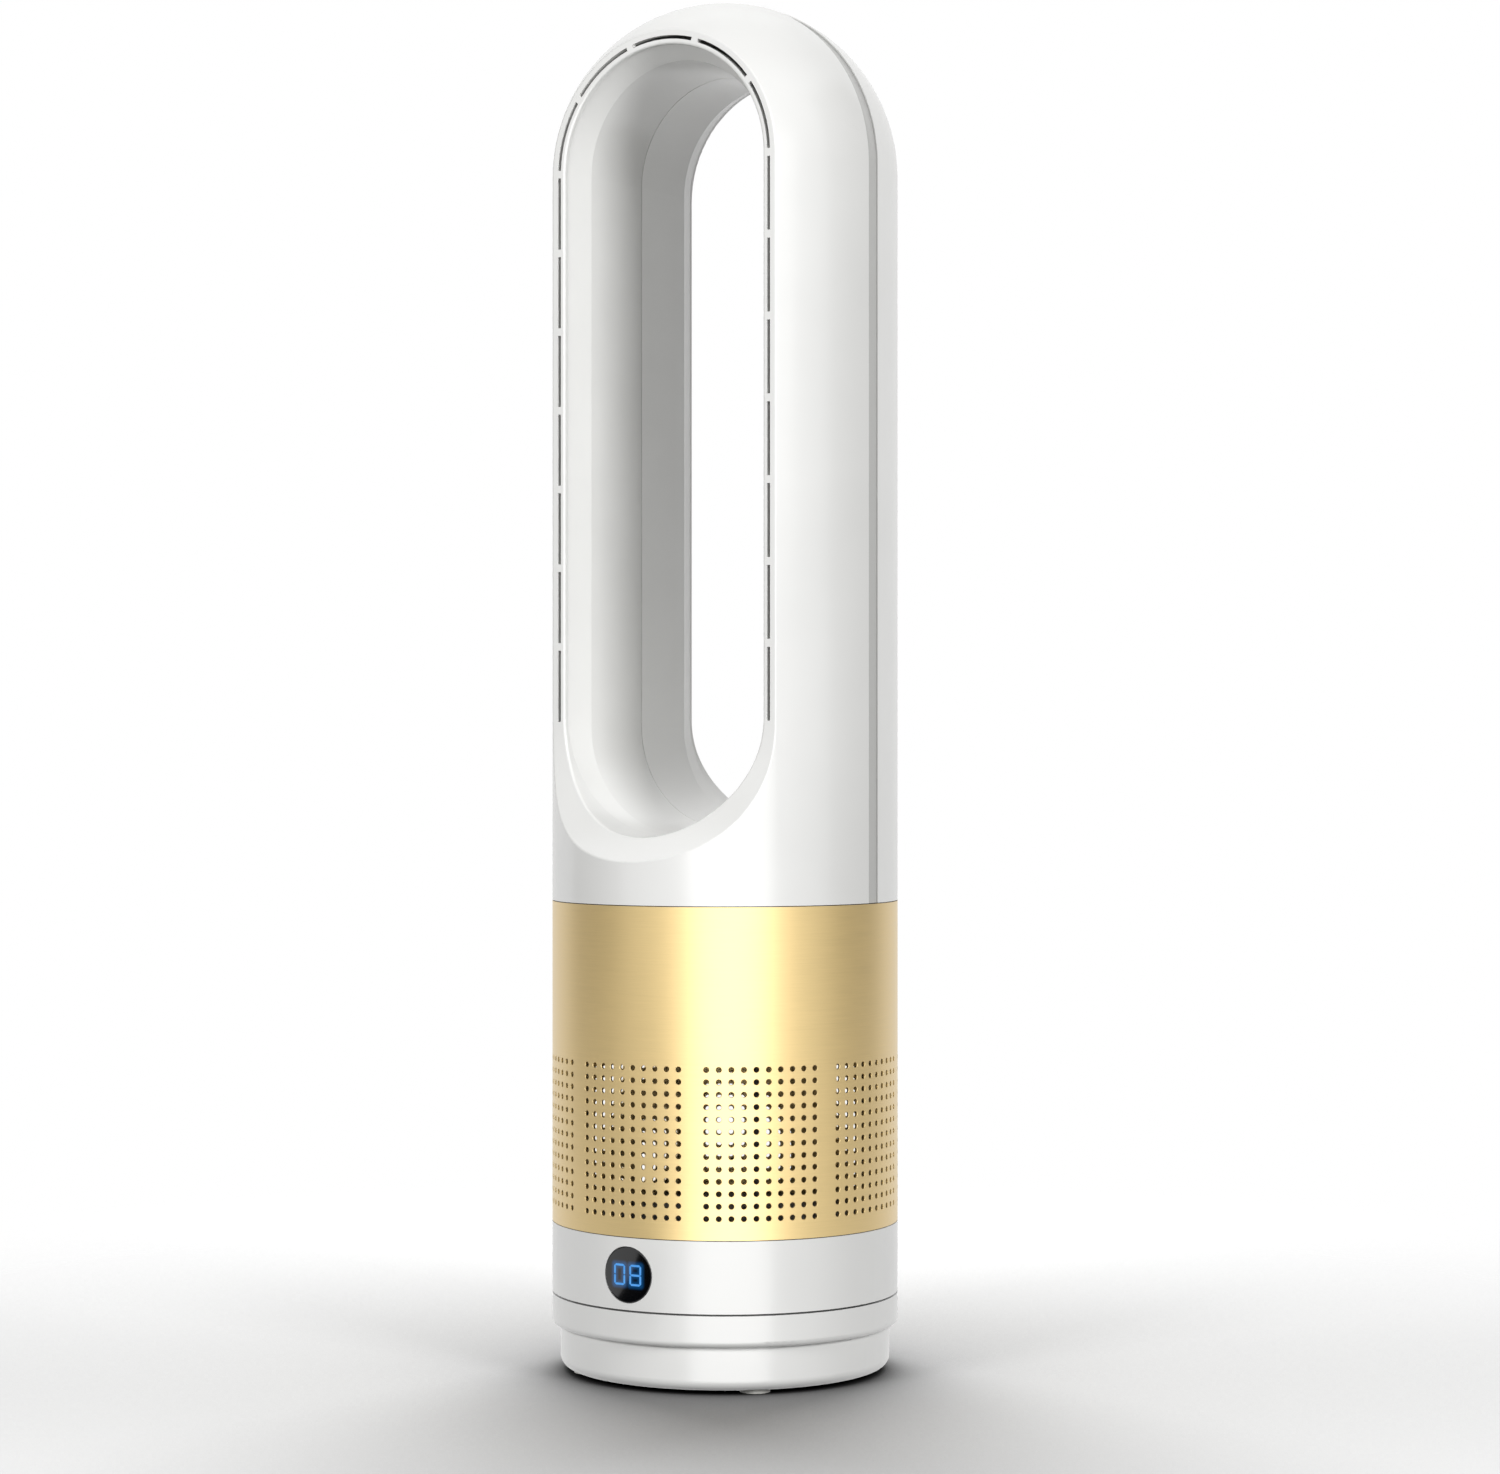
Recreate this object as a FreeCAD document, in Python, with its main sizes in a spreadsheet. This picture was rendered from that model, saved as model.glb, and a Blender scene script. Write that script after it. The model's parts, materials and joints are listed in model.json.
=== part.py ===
import FreeCAD, Part
import math
import os
import re

import Sketcher

# Bladeless tower fan: a capsule-shaped air loop on a perforated intake sleeve, a control band with a
# round display, and a swivelling foot. Millimetres, +Z up, front towards -Y, origin on the floor at
# the middle of the foot.

V = FreeCAD.Vector
doc = FreeCAD.newDocument("tower_fan")
sizes = doc.addObject("Spreadsheet::Sheet", "sizes")

# Driving dimensions
DIMENSIONS = {
    # whole body and fits
    "body_radius": 82.5,
    "shell_wall": 3.0,
    "seam_chamfer": 0.4,
    "seam_gap": 0.4,
    "slip_fit": 0.3,
    "snug_fit": 0.1,
    "running_fit": 0.05,
    "overcut": 1.0,
    "tip_gap": 0.5,
    # foot
    "foot_height": 2.0,
    "foot_recess": 1.0,
    "foot_radius": 7.0,
    "pad_inset": 12.5,
    "foot_count": 4,
    "foot_inset": 4.0,
    "base_height": 23.0,
    "base_wall": 2.6,
    "base_floor": 3.0,
    "base_edge": 5.0,
    "base_boss_radius": 6.0,
    "ballast_inset": 22.5,
    "ballast_height": 8.0,
    "deck_thickness": 3.0,
    "inlet_width": 12.0,
    "inlet_height": 10.0,
    "inlet_depth": 14.0,
    "inlet_bore": 3.2,
    "inlet_pin_radius": 1.0,
    "inlet_gap": 2.0,
    "inlet_set_back": 0.4,
    "base_gap": 0.6,
    # swivel
    "post_radius": 14.0,
    "post_bore": 9.0,
    "glide_inset": 20.5,
    "glide_width": 8.0,
    "glide_height": 6.0,
    "table_floor": 3.0,
    "hub_height": 8.0,
    "hub_wall": 4.0,
    "end_play": 0.2,
    "retainer_thickness": 2.5,
    "retainer_screw_length": 10.0,
    "gear_module": 1.0,
    "gear_teeth": 48,
    "pinion_teeth": 12,
    "gear_height": 4.6,
    "gear_backlash": 0.25,
    "pinion_shaft_radius": 2.5,
    "swivel_motor_radius": 21.0,
    "swivel_motor_height": 16.0,
    "swivel_motor_offset": 10.0,
    "ear_radius": 5.0,
    "ear_thickness": 1.5,
    "ear_bite": 1.0,
    "skirt_overlap": 2.7,
    "skirt_height": 15.3,
    "skirt_land": 0.34,
    # control band and display
    "band_height": 33.6,
    "lap_height": 4.0,
    "lap_wall": 2.0,
    "display_radius": 13.0,
    "display_flange": 2.5,
    "display_drop": 17.0,
    "display_thickness": 1.4,
    "digit_width": 22.0,
    "digit_height": 14.0,
    "digit_depth": 8.0,
    "digit_gap": 1.2,
    "board_thickness": 1.6,
    "board_width": 56.0,
    "board_height": 26.0,
    "power_board_length": 96.0,
    "power_board_width": 60.0,
    "standoff_height": 6.0,
    "standoff_radius": 3.0,
    "capacitor_radius": 8.0,
    "capacitor_height": 12.0,
    "transformer_width": 22.0,
    "parts_gap": 1.0,
    "seam_recess": 0.8,
    "lead_hole": 6.0,
    # perforated sleeve
    "sleeve_height": 151.9,
    "sleeve_wall": 1.2,
    "perforation_radius": 1.3,
    "perforation_rise": 9.9,
    "row_pitch": 5.66,
    "perforation_rows": 13,
    "perforation_columns": 10,
    "perforation_groups": 8,
    "column_angle": 4.0,
    # inner fan
    "plate_thickness": 2.6,
    "tie_radius": 4.0,
    "tie_inset": 12.5,
    "shroud_margin": 3.6,
    "shroud_wall": 2.2,
    "shroud_flange": 3.0,
    "mouth_inset": 10.5,
    "throat_inset": 13.0,
    "throat_rise": 10.0,
    "throat_length": 5.0,
    "bell_share": 0.35,
    "duct_inset": 16.5,
    "collar_drop": 4.0,
    "impeller_rise": 9.0,
    "impeller_height": 32.0,
    "impeller_nose": 15.0,
    "impeller_back": 45.0,
    "impeller_wall": 2.0,
    "blade_count": 9,
    "blade_thickness": 1.6,
    "blade_sweep": 56.0,
    "blade_gap": 0.8,
    "stage_gap": 2.0,
    "vane_count": 11,
    "vane_thickness": 1.6,
    "vane_sweep": 30.0,
    "vane_inset": 1.0,
    "diffuser_height": 20.0,
    "diffuser_wall": 2.2,
    "motor_radius": 30.0,
    "motor_height": 19.0,
    "motor_wall": 1.6,
    "mount_height": 12.0,
    "mount_lip": 2.0,
    "mount_ledge": 10.0,
    "shaft_radius": 2.5,
    "bearing_radius": 8.0,
    "bearing_height": 4.0,
    "rotor_radius": 13.0,
    "rotor_height": 8.0,
    "air_gap": 0.5,
    "stator_slots": 9,
    "slot_opening": 6.0,
    "slot_mouth": 1.6,
    "nut_across": 9.0,
    "nut_height": 4.5,
    "shaft_tail": 1.5,
    "cap_rise": 7.5,
    "cap_lip": 1.0,
    # air loop
    "head_wall": 2.6,
    "loop_rise": 82.3,
    "loop_straight": 262.2,
    "rim_inset": 28.5,
    "scoop_radius": 82.5,
    "waist_draft": 1.8,
    "mouth_depth": 14.2,
    "mouth_flare": 5.4,
    "rear_flare": 4.2,
    "rim_width": 6.87,
    "rim_land": 2.6,
    "rim_round": 1.2,
    "rim_edge": 1.0,
    "mouth_lift": 4.8,
    "far_reach": 36.0,
    "far_flare": 1.6,
    "groove_half": 4.1,
    "groove_depth": 1.0,
    "tongue_wall": 1.6,
    "tongue_reach": 6.0,
    "tongue_gap": 1.0,
    "seam_line_half": 0.2,
    "seam_line_depth": 0.4,
    "slot_inset": 3.67,
    "slot_width": 1.7,
    "bridge_width": 3.6,
    "slots_per_side": 7,
    "slots_on_arch": 5,
    "slot_end_rise": 2.4,
    "collar_height": 8.0,
    "collar_wall": 9.0,
    "head_boss_radius": 4.5,
    "head_boss_height": 14.0,
    "head_boss_bite": 0.6,
    "head_screw_bite": 10.0,
    # fasteners
    "screw_radius": 1.5,
    "screw_head_radius": 2.8,
    "screw_head_height": 2.0,
}
for row, (alias, value) in enumerate(DIMENSIONS.items(), 1):
    sizes.set("A%d" % row, alias)
    sizes.set("B%d" % row, str(value))
    sizes.setAlias("B%d" % row, alias)
doc.recompute()


# Sizes that follow from the driving ones
FOLLOWING = {
    "base_radius": "(body_radius - foot_inset)",
    "foot_reach": "(base_radius - pad_inset)",
    "ballast_radius": "(base_radius - ballast_inset)",
    "glide_inner": "(base_radius - glide_inset)",
    "skirt_edge": "(foot_inset - base_gap - skirt_land)",
    "tie_reach": "(body_radius - tie_inset)",
    "mouth_radius": "(body_radius - mouth_inset)",
    "duct_radius": "(body_radius - duct_inset)",
    "throat_radius": "(duct_radius - throat_inset)",
    "rim_offset": "(body_radius - rim_inset)",
    "rim_half": "sqrt(body_radius^2 - rim_offset^2)",
    "mouth_inner_radius": "(rim_half - rim_width)",
    "loop_throat_radius": "(mouth_inner_radius - mouth_flare)",
    "waist_radius": "(loop_throat_radius - waist_draft)",
    "mouth_offset": "(rim_offset - rim_land)",
    "throat_offset": "(rim_offset - mouth_depth)",
    "far_offset": "(rim_offset + far_reach)",
    "far_radius": "(mouth_inner_radius + far_flare)",
    "rear_inner_radius": "(loop_throat_radius + rear_flare)",
    "rear_far_radius": "(rear_inner_radius + far_flare)",
    "slot_radius": "(rim_half - slot_inset)",
}


# Tying geometry to the sheet
def bound(text):
    """The same expression with every named size read from the sheet."""
    def spelled(word):
        """One word of the expression, as the sheet knows it."""
        name = word.group()
        if name in FOLLOWING:
            return bound(FOLLOWING[name])
        return "sizes." + name if name in DIMENSIONS else name

    return re.sub(r"[a-z_]+", spelled, text)


def number(text):
    """The present value of an expression of named sizes."""
    return float(sizes.evalExpression(bound(text)))


def count(text):
    """The present value of a named count."""
    return int(round(number(text)))


def tie(item, **properties):
    """Bind properties of a document object to expressions; x, y and z place it."""
    for key, text in properties.items():
        path = "Placement.Base." + key if key in ("x", "y", "z") else key
        item.setExpression(path, bound(text))
    return item


def cylinder(name, radius, height, x="0", y="0", z="0", along="z", sweep=None):
    """A round bar that starts at a point and runs along +X, +Y or +Z."""
    item = doc.addObject("Part::Cylinder", name)
    if along == "x":
        item.Placement.Rotation = FreeCAD.Rotation(V(0, 1, 0), 90)
    if along == "y":
        item.Placement.Rotation = FreeCAD.Rotation(V(1, 0, 0), -90)
    tie(item, Radius=radius, Height=height, x=x, y=y, z=z)
    if sweep:
        tie(item, Angle=sweep)
    return item


def box(name, length, width, height, x, y, z):
    """A block from its lowest corner."""
    item = doc.addObject("Part::Box", name)
    return tie(item, Length=length, Width=width, Height=height, x=x, y=y, z=z)


def fuse(name, *pieces):
    """Several shapes as one solid."""
    item = doc.addObject("Part::MultiFuse", name)
    item.Shapes = list(pieces)
    item.Refine = False
    return item


def common(name, first, second):
    """What two shapes share."""
    item = doc.addObject("Part::Common", name)
    item.Base = first
    item.Tool = second
    item.Refine = False
    return item


def cut(name, first, *tools):
    """A shape with others taken away."""
    tool = tools[0] if len(tools) == 1 else group(name + "_tools", *tools)
    item = doc.addObject("Part::Cut", name)
    item.Base = first
    item.Tool = tool
    item.Refine = False
    return item


def group(name, *pieces):
    """Separate solids kept together."""
    item = doc.addObject("Part::Compound", name)
    item.Links = list(pieces)
    return item


def shaped(name, shape):
    """A form that only a formula gives."""
    item = doc.addObject("Part::Feature", name)
    item.Shape = shape
    return item


def outline(body, name, role, corners):
    """A closed outline of straight runs whose corners are tied to the sheet."""
    sketch = body.newObject("Sketcher::SketchObject", name)
    plane = next(item for item in body.Origin.OriginFeatures if item.Role == role)
    sketch.AttachmentSupport = [(plane, "")]
    sketch.MapMode = "FlatFace"
    points = [V(number(across), number(up), 0) for across, up in corners]
    last = len(points)
    for index in range(last):
        sketch.addGeometry(Part.LineSegment(points[index], points[(index + 1) % last]))
    for index in range(last):
        sketch.addConstraint(Sketcher.Constraint("Coincident", index, 2, (index + 1) % last, 1))
    for index, (across, up) in enumerate(corners):
        for kind, text, place, axis in (
            ("DistanceX", across, points[index].x, -2), ("DistanceY", up, points[index].y, -1)):
            if text == "0":
                sketch.addConstraint(Sketcher.Constraint("PointOnObject", index, 1, axis))
            else:
                made = sketch.addConstraint(Sketcher.Constraint(kind, -1, 1, index, 1, place))
                sketch.setExpression("Constraints[%d]" % made, bound(text))
    return sketch


def turned(name, corners, round_edges=(), round_radius=None):
    """A turned piece: an outline of (radius, height) corners revolved about the upright axis."""
    body = doc.addObject("PartDesign::Body", name)
    sketch = outline(body, name + "_outline", "XZ_Plane", corners)
    turn = body.newObject("PartDesign::Revolution", name + "_turn")
    turn.Profile = sketch
    turn.ReferenceAxis = (sketch, ["V_Axis"])
    turn.Angle = 360
    doc.recompute()
    if round_edges:
        spots = [(number(radius), number(height)) for radius, height in round_edges]
        names = []
        for index, edge in enumerate(turn.Shape.Edges, 1):
            if edge.Closed and hasattr(edge.Curve, "Radius"):
                spot = (edge.Curve.Radius, edge.Curve.Center.z)
                if any(math.dist(spot, wanted) < 1e-4 for wanted in spots):
                    names.append("Edge%d" % index)
        soften = body.newObject("PartDesign::Fillet", name + "_edge")
        soften.Base = (turn, names)
        tie(soften, Radius=round_radius)
        doc.recompute()
    return body


def around(reach, angle):
    """Plan position at a reach from the axis, as two expressions."""
    return "(%s) * cos(%s)" % (reach, angle), "(%s) * sin(%s)" % (reach, angle)


def ring_of_bars(name, radius, height, z, reach, angles):
    """Equal upright bars on a circle."""
    bars = []
    for index, angle in enumerate(angles):
        x, y = around(reach, angle)
        bars.append(cylinder("%s_%d" % (name, index), radius, height, x, y, z))
    return group(name, *bars)


def ring_of_screws(name, reach, angles, head_bottom, length, head_below=True):
    """Equal screws on a circle, each a head and a shank."""
    screws = []
    for index, angle in enumerate(angles):
        x, y = around(reach, angle)
        head_z = head_bottom
        shank_z = "%s + screw_head_height" % head_bottom if head_below else "%s - (%s)" % (
            head_bottom, length)
        head = cylinder(
            "%s_head_%d" % (name, index), "screw_head_radius", "screw_head_height", x, y, head_z)
        shank = cylinder("%s_shank_%d" % (name, index), "screw_radius", length, x, y, shank_z)
        screws.append(fuse("%s_%d" % (name, index), head, shank))
    return group(name, *screws)


# Levels, from the floor up
deck_top = "(foot_height + base_height)"
skirt_bottom = "(foot_height + base_height - skirt_overlap)"
ring_top = "(%s + skirt_height)" % skirt_bottom
band_top = "(%s + band_height)" % ring_top
sleeve_bottom = "(%s + seam_gap)" % band_top
sleeve_top = "(%s + sleeve_height)" % sleeve_bottom
head_bottom = "(%s + seam_gap)" % sleeve_top
loop_low = "(%s + loop_rise)" % head_bottom
loop_high = "(%s + loop_straight)" % loop_low
table_bottom = "(%s + glide_height)" % deck_top
table_top = "(%s + table_floor)" % table_bottom
hub_top = "(%s + hub_height)" % table_bottom
post_top = "(%s + end_play)" % hub_top
display_level = "(%s - display_drop)" % band_top
plate_top = "(%s + plate_thickness)" % sleeve_bottom
shroud_bottom = "(%s + perforation_rise + (perforation_rows - 1) * row_pitch + shroud_margin)" % sleeve_bottom
shroud_top = "(%s - collar_drop)" % sleeve_top
impeller_bottom = "(%s + impeller_rise)" % shroud_bottom
impeller_top = "(%s + impeller_height)" % impeller_bottom
diffuser_bottom = "(%s + stage_gap)" % impeller_top
diffuser_top = "(%s + diffuser_height)" % diffuser_bottom

quarter_angles = ["45", "135", "225", "315"]
cross_angles = ["0", "90", "180", "270"]
third_angles = ["30", "150", "270"]
PIECES = {}


def keep(name, item):
    """Name a finished piece of the fan."""
    item.Label = name
    PIECES[name] = item


# Foot: pan, deck with the swivel post, ballast, glide ring, rubber pads and their screws
deck_bottom = "(%s - deck_thickness)" % deck_top
floor_top = "(foot_height + base_floor)"
foot_top = "(foot_height + foot_recess)"
pan = turned("pan_blank", [
    ("0", "foot_height"), ("base_radius", "foot_height"), ("base_radius", deck_top),
    ("base_radius - base_wall", deck_top), ("base_radius - base_wall", floor_top), ("0", floor_top),
], [("base_radius", "foot_height")], "base_edge")
pan_bosses = ring_of_bars(
    "pan_bosses", "base_boss_radius", "%s - foot_height - foot_recess - screw_head_height" % deck_bottom,
    "%s + screw_head_height" % foot_top, "foot_reach", quarter_angles)
pan_solid = fuse("pan_solid", pan, *pan_bosses.Links)
pan_pads = ring_of_bars(
    "pan_pads", "foot_radius + snug_fit", "foot_height + foot_recess", "0", "foot_reach", quarter_angles)
pan_heads = ring_of_bars(
    "pan_heads", "screw_head_radius + snug_fit", "screw_head_height + overcut", "%s - overcut" % foot_top,
    "foot_reach", quarter_angles)
pan_shanks = ring_of_bars(
    "pan_shanks", "screw_radius + snug_fit", "base_height", foot_top, "foot_reach", quarter_angles)
inlet_level = "(%s + inlet_gap)" % floor_top
inlet_window = box(
    "inlet_window", "inlet_width + 2 * snug_fit", "2 * base_wall", "inlet_height + 2 * snug_fit",
    "-inlet_width / 2 - snug_fit", "base_radius - 1.5 * base_wall", "%s - snug_fit" % inlet_level)
keep("base_pan", cut("base_pan", pan_solid, pan_pads, pan_heads, pan_shanks, inlet_window))

keep("rubber_feet", ring_of_bars("rubber_feet", "foot_radius", foot_top, "0", "foot_reach", quarter_angles))
keep("base_screws", ring_of_screws(
    "base_screws", "foot_reach", quarter_angles, foot_top,
    "%s - foot_height - foot_recess - screw_head_height - tip_gap" % deck_top))
keep("ballast_plate", turned("ballast_plate", [
    ("post_radius", floor_top), ("ballast_radius", floor_top),
    ("ballast_radius", "%s + ballast_height" % floor_top),
    ("post_radius", "%s + ballast_height" % floor_top),
]))

post_screw_reach = "(post_bore + post_radius) / 2"
deck = turned("deck_blank", [
    ("post_bore", deck_bottom), ("base_radius - base_wall - slip_fit", deck_bottom),
    ("base_radius - base_wall - slip_fit", deck_top), ("post_radius", deck_top), ("post_radius", post_top),
    ("post_bore", post_top),
])
deck_pilots = ring_of_bars(
    "deck_pilots", "screw_radius + snug_fit", "deck_thickness", "%s - slip_fit" % deck_bottom, "foot_reach",
    quarter_angles)
post_pilots = ring_of_bars(
    "post_pilots", "screw_radius + snug_fit", "retainer_screw_length",
    "%s + retainer_thickness - retainer_screw_length" % post_top,
    post_screw_reach, third_angles)
keep("base_deck", cut("base_deck", deck, deck_pilots, post_pilots))
keep("glide_ring", turned("glide_ring", [
    ("glide_inner", deck_top), ("glide_inner + glide_width", deck_top),
    ("glide_inner + glide_width", table_bottom), ("glide_inner", table_bottom),
]))
retainer = turned("retainer_blank", [
    ("post_bore", post_top), ("post_radius + hub_wall - slip_fit", post_top),
    ("post_radius + hub_wall - slip_fit", "%s + retainer_thickness" % post_top),
    ("post_bore", "%s + retainer_thickness" % post_top),
])
retainer_holes = ring_of_bars(
    "retainer_holes", "screw_radius + snug_fit", "retainer_thickness + 2 * overcut",
    "%s - overcut" % post_top, post_screw_reach, third_angles)
keep("swivel_retainer", cut("swivel_retainer", retainer, retainer_holes))
keep("retainer_screws", ring_of_screws(
    "retainer_screws", post_screw_reach, third_angles, "%s + retainer_thickness" % post_top,
    "retainer_screw_length - tip_gap", head_below=False))

inlet_block = box(
    "inlet_block", "inlet_width", "inlet_depth", "inlet_height", "-inlet_width / 2",
    "base_radius - inlet_depth - inlet_set_back",
    inlet_level)
inlet_hole = cylinder(
    "inlet_hole", "inlet_bore", "inlet_depth", "0",
    "base_radius - inlet_depth - inlet_set_back + base_wall",
    "%s + inlet_height / 2" % inlet_level, along="y")
inlet_pin = cylinder(
    "inlet_pin", "inlet_pin_radius", "inlet_depth - 2 * base_wall", "0",
    "base_radius - inlet_depth - inlet_set_back + base_wall / 2",
    "%s + inlet_height / 2" % inlet_level, along="y")
inlet_shelf = box(
    "inlet_shelf", "inlet_width", "inlet_depth - 2 * base_wall", "inlet_gap", "-inlet_width / 2",
    "base_radius - inlet_depth - inlet_set_back", floor_top)
keep(
    "power_inlet", fuse("power_inlet", cut("inlet_shell", inlet_block, inlet_hole), inlet_pin, inlet_shelf))


# Involute spur gears of the swivel drive
def spur_gear(teeth, thickness_loss):
    """Flat outline of a spur gear: involute flanks, round tip and root, thinner by the backlash."""
    module = number("gear_module")
    pitch = module * teeth / 2
    base = pitch * math.cos(math.radians(20))
    tip = pitch + module
    root = pitch - 1.25 * module
    half = math.pi / (2 * teeth) - thickness_loss / (4 * pitch)
    involute = math.tan(math.radians(20)) - math.radians(20)

    def flank(radius):
        """Half angle of the tooth at a radius."""
        lean = math.acos(min(1, base / radius))
        return half + involute - (math.tan(lean) - lean)

    start = max(base, root)
    steps = [start + (tip - start) * k / 3 for k in range(4)]
    edges = []
    for tooth in range(teeth):
        middle = 2 * math.pi * tooth / teeth
        after = 2 * math.pi * (tooth + 1) / teeth

        def spot(radius, angle):
            """A point of the outline."""
            return V(radius * math.cos(angle), radius * math.sin(angle), 0)

        rise = [spot(radius, middle - flank(radius)) for radius in steps]
        fall = [spot(radius, middle + flank(radius)) for radius in reversed(steps)]
        foot_in = spot(root, middle - flank(start))
        foot_out = spot(root, middle + flank(start))
        next_in = spot(root, after - flank(start))
        valley = spot(root, (middle + after) / 2)
        if start > root:
            edges.append(Part.makeLine(foot_in, rise[0]))
        for curve in (rise, fall):
            spline = Part.BSplineCurve()
            spline.interpolate(curve)
            if curve is fall:
                edges.append(Part.Arc(rise[-1], spot(tip, middle), fall[0]).toShape())
            edges.append(spline.toShape())
        if start > root:
            edges.append(Part.makeLine(fall[-1], foot_out))
        edges.append(Part.Arc(foot_out, valley, next_in).toShape())
    return Part.Face(Part.Wire(edges))


gear_reach = "(gear_module * (gear_teeth + pinion_teeth) / 2)"
pinion_bottom = "(%s + 2 * end_play)" % deck_top
gear_disc = shaped(
    "gear_disc",
    spur_gear(count("gear_teeth"), number("gear_backlash")).extrude(V(0, 0, number("gear_height"))))
tie(gear_disc, z=deck_top)
gear_bore = cylinder(
    "gear_bore", "post_radius + snug_fit", "gear_height + 2 * overcut", z="%s - overcut" % deck_top)
keep("swivel_gear", cut("swivel_gear", gear_disc, gear_bore))

pinion_disc = shaped("pinion_disc", spur_gear(count("pinion_teeth"), number("gear_backlash")).extrude(
    V(0, 0, number("gear_height - 2 * end_play"))))
pinion_disc.Placement.Rotation = FreeCAD.Rotation(V(0, 0, 1), 90 + 180 + 180 / count("pinion_teeth"))
tie(pinion_disc, y=gear_reach, z=pinion_bottom)
pinion_shaft = cylinder(
    "pinion_shaft", "pinion_shaft_radius", "%s + swivel_motor_height / 2 - %s" % (table_top, pinion_bottom),
    y=gear_reach, z=pinion_bottom)
keep("drive_pinion", fuse("drive_pinion", pinion_disc, pinion_shaft))


# Turntable with its skirt, and the swivel motor on it
lap_outer = "(body_radius - shell_wall - snug_fit)"
lap_inner = "(body_radius - shell_wall - snug_fit - lap_wall)"
table_bore = "(post_radius + running_fit)"
skirt_inner = "(base_radius + base_gap)"
table = turned("table_blank", [
    (table_bore, table_bottom), (skirt_inner, table_bottom), (skirt_inner, skirt_bottom),
    ("body_radius", skirt_bottom),
    ("body_radius", "%s - seam_chamfer" % ring_top), ("body_radius - seam_chamfer", ring_top),
    (lap_outer, ring_top),
    (lap_outer, "%s + lap_height" % ring_top), (lap_inner, "%s + lap_height" % ring_top),
    (lap_inner, table_top),
    ("%s + hub_wall" % table_bore, table_top), ("%s + hub_wall" % table_bore, hub_top),
    (table_bore, hub_top),
], [("body_radius", skirt_bottom)], "skirt_edge")
motor_y = "(%s + swivel_motor_offset)" % gear_reach
ear_x = "(swivel_motor_radius + ear_radius - ear_bite)"
shaft_hole = cylinder(
    "shaft_hole", "pinion_shaft_radius + slip_fit", "table_floor + 2 * overcut", y=gear_reach,
    z="%s - overcut" % table_bottom)
ear_pilots = [
    cylinder(
        "ear_pilot_" + side, "screw_radius + snug_fit", "table_floor", sign + ear_x, motor_y,
        "%s + tip_gap" % table_bottom)
    for side, sign in (("left", "-"), ("right", ""))]
lap_notch = cylinder(
    "lap_notch", "display_radius + display_flange + slip_fit", "body_radius / 2", "0",
    "-body_radius + shell_wall", display_level,
    along="y")
keep("turntable", cut("turntable", table, shaft_hole, lap_notch, *ear_pilots))

motor_can = cylinder(
    "swivel_motor_can", "swivel_motor_radius", "swivel_motor_height", y=motor_y, z=table_top)
ears = [
    cylinder("swivel_motor_ear_" + side, "ear_radius", "ear_thickness", sign + ear_x, motor_y, table_top)
    for side, sign in (("left", "-"), ("right", ""))]
ear_holes = [
    cylinder(
        "ear_hole_" + side, "screw_radius + snug_fit", "ear_thickness + 2 * overcut", sign + ear_x, motor_y,
        "%s - overcut" % table_top)
    for side, sign in (("left", "-"), ("right", ""))]
motor_bore = cylinder(
    "swivel_motor_bore", "pinion_shaft_radius + running_fit", "swivel_motor_height / 2 + 2 * overcut",
    y=gear_reach, z="%s - overcut" % table_top)
keep(
    "swivel_motor",
    cut("swivel_motor", fuse("swivel_motor_body", motor_can, *ears), motor_bore, *ear_holes))
ear_screws = []
for side, sign in (("left", "-"), ("right", "")):
    head = cylinder(
        "ear_screw_head_" + side, "screw_head_radius", "screw_head_height", sign + ear_x, motor_y,
        "%s + ear_thickness" % table_top)
    shank = cylinder(
        "ear_screw_shank_" + side, "screw_radius", "ear_thickness + table_floor - 2 * tip_gap",
        sign + ear_x, motor_y, "%s + 2 * tip_gap" % table_bottom)
    ear_screws.append(fuse("ear_screw_" + side, head, shank))
keep("swivel_motor_screws", group("swivel_motor_screws", *ear_screws))


# Control band, display window and the boards behind it
band = turned("band_blank", [
    ("body_radius - shell_wall", ring_top), ("body_radius - seam_chamfer", ring_top),
    ("body_radius", "%s + seam_chamfer" % ring_top), ("body_radius", band_top),
    ("body_radius - shell_wall", band_top),
])
board_front = "(body_radius - shell_wall - display_thickness - digit_gap - digit_depth)"
boss_x = "(board_width / 2 - standoff_radius)"
band_bosses = [
    cylinder(
        "band_boss_" + side, "standoff_radius",
        "sqrt((body_radius - shell_wall / 2)^2 - %s^2) - %s" % (boss_x, board_front), sign + boss_x,
        "-sqrt((body_radius - shell_wall / 2)^2 - %s^2)" % boss_x, display_level, along="y")
    for side, sign in (("left", "-"), ("right", ""))]
display_hole = cylinder(
    "display_hole", "display_radius + snug_fit", "body_radius / 2", "0", "-body_radius - overcut",
    display_level, along="y")
keep("control_band", cut("control_band", fuse("band_solid", band, *band_bosses), display_hole))


def band_patch(name, outer, inner, radius):
    """A round patch of a tube wall at the display."""
    tube = turned(
        name + "_tube", [(inner, ring_top), (outer, ring_top), (outer, band_top), (inner, band_top)])
    plug = cylinder(
        name + "_plug", radius, "body_radius / 2", "0", "-body_radius - overcut", display_level, along="y")
    return common(name, tube, plug)


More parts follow.
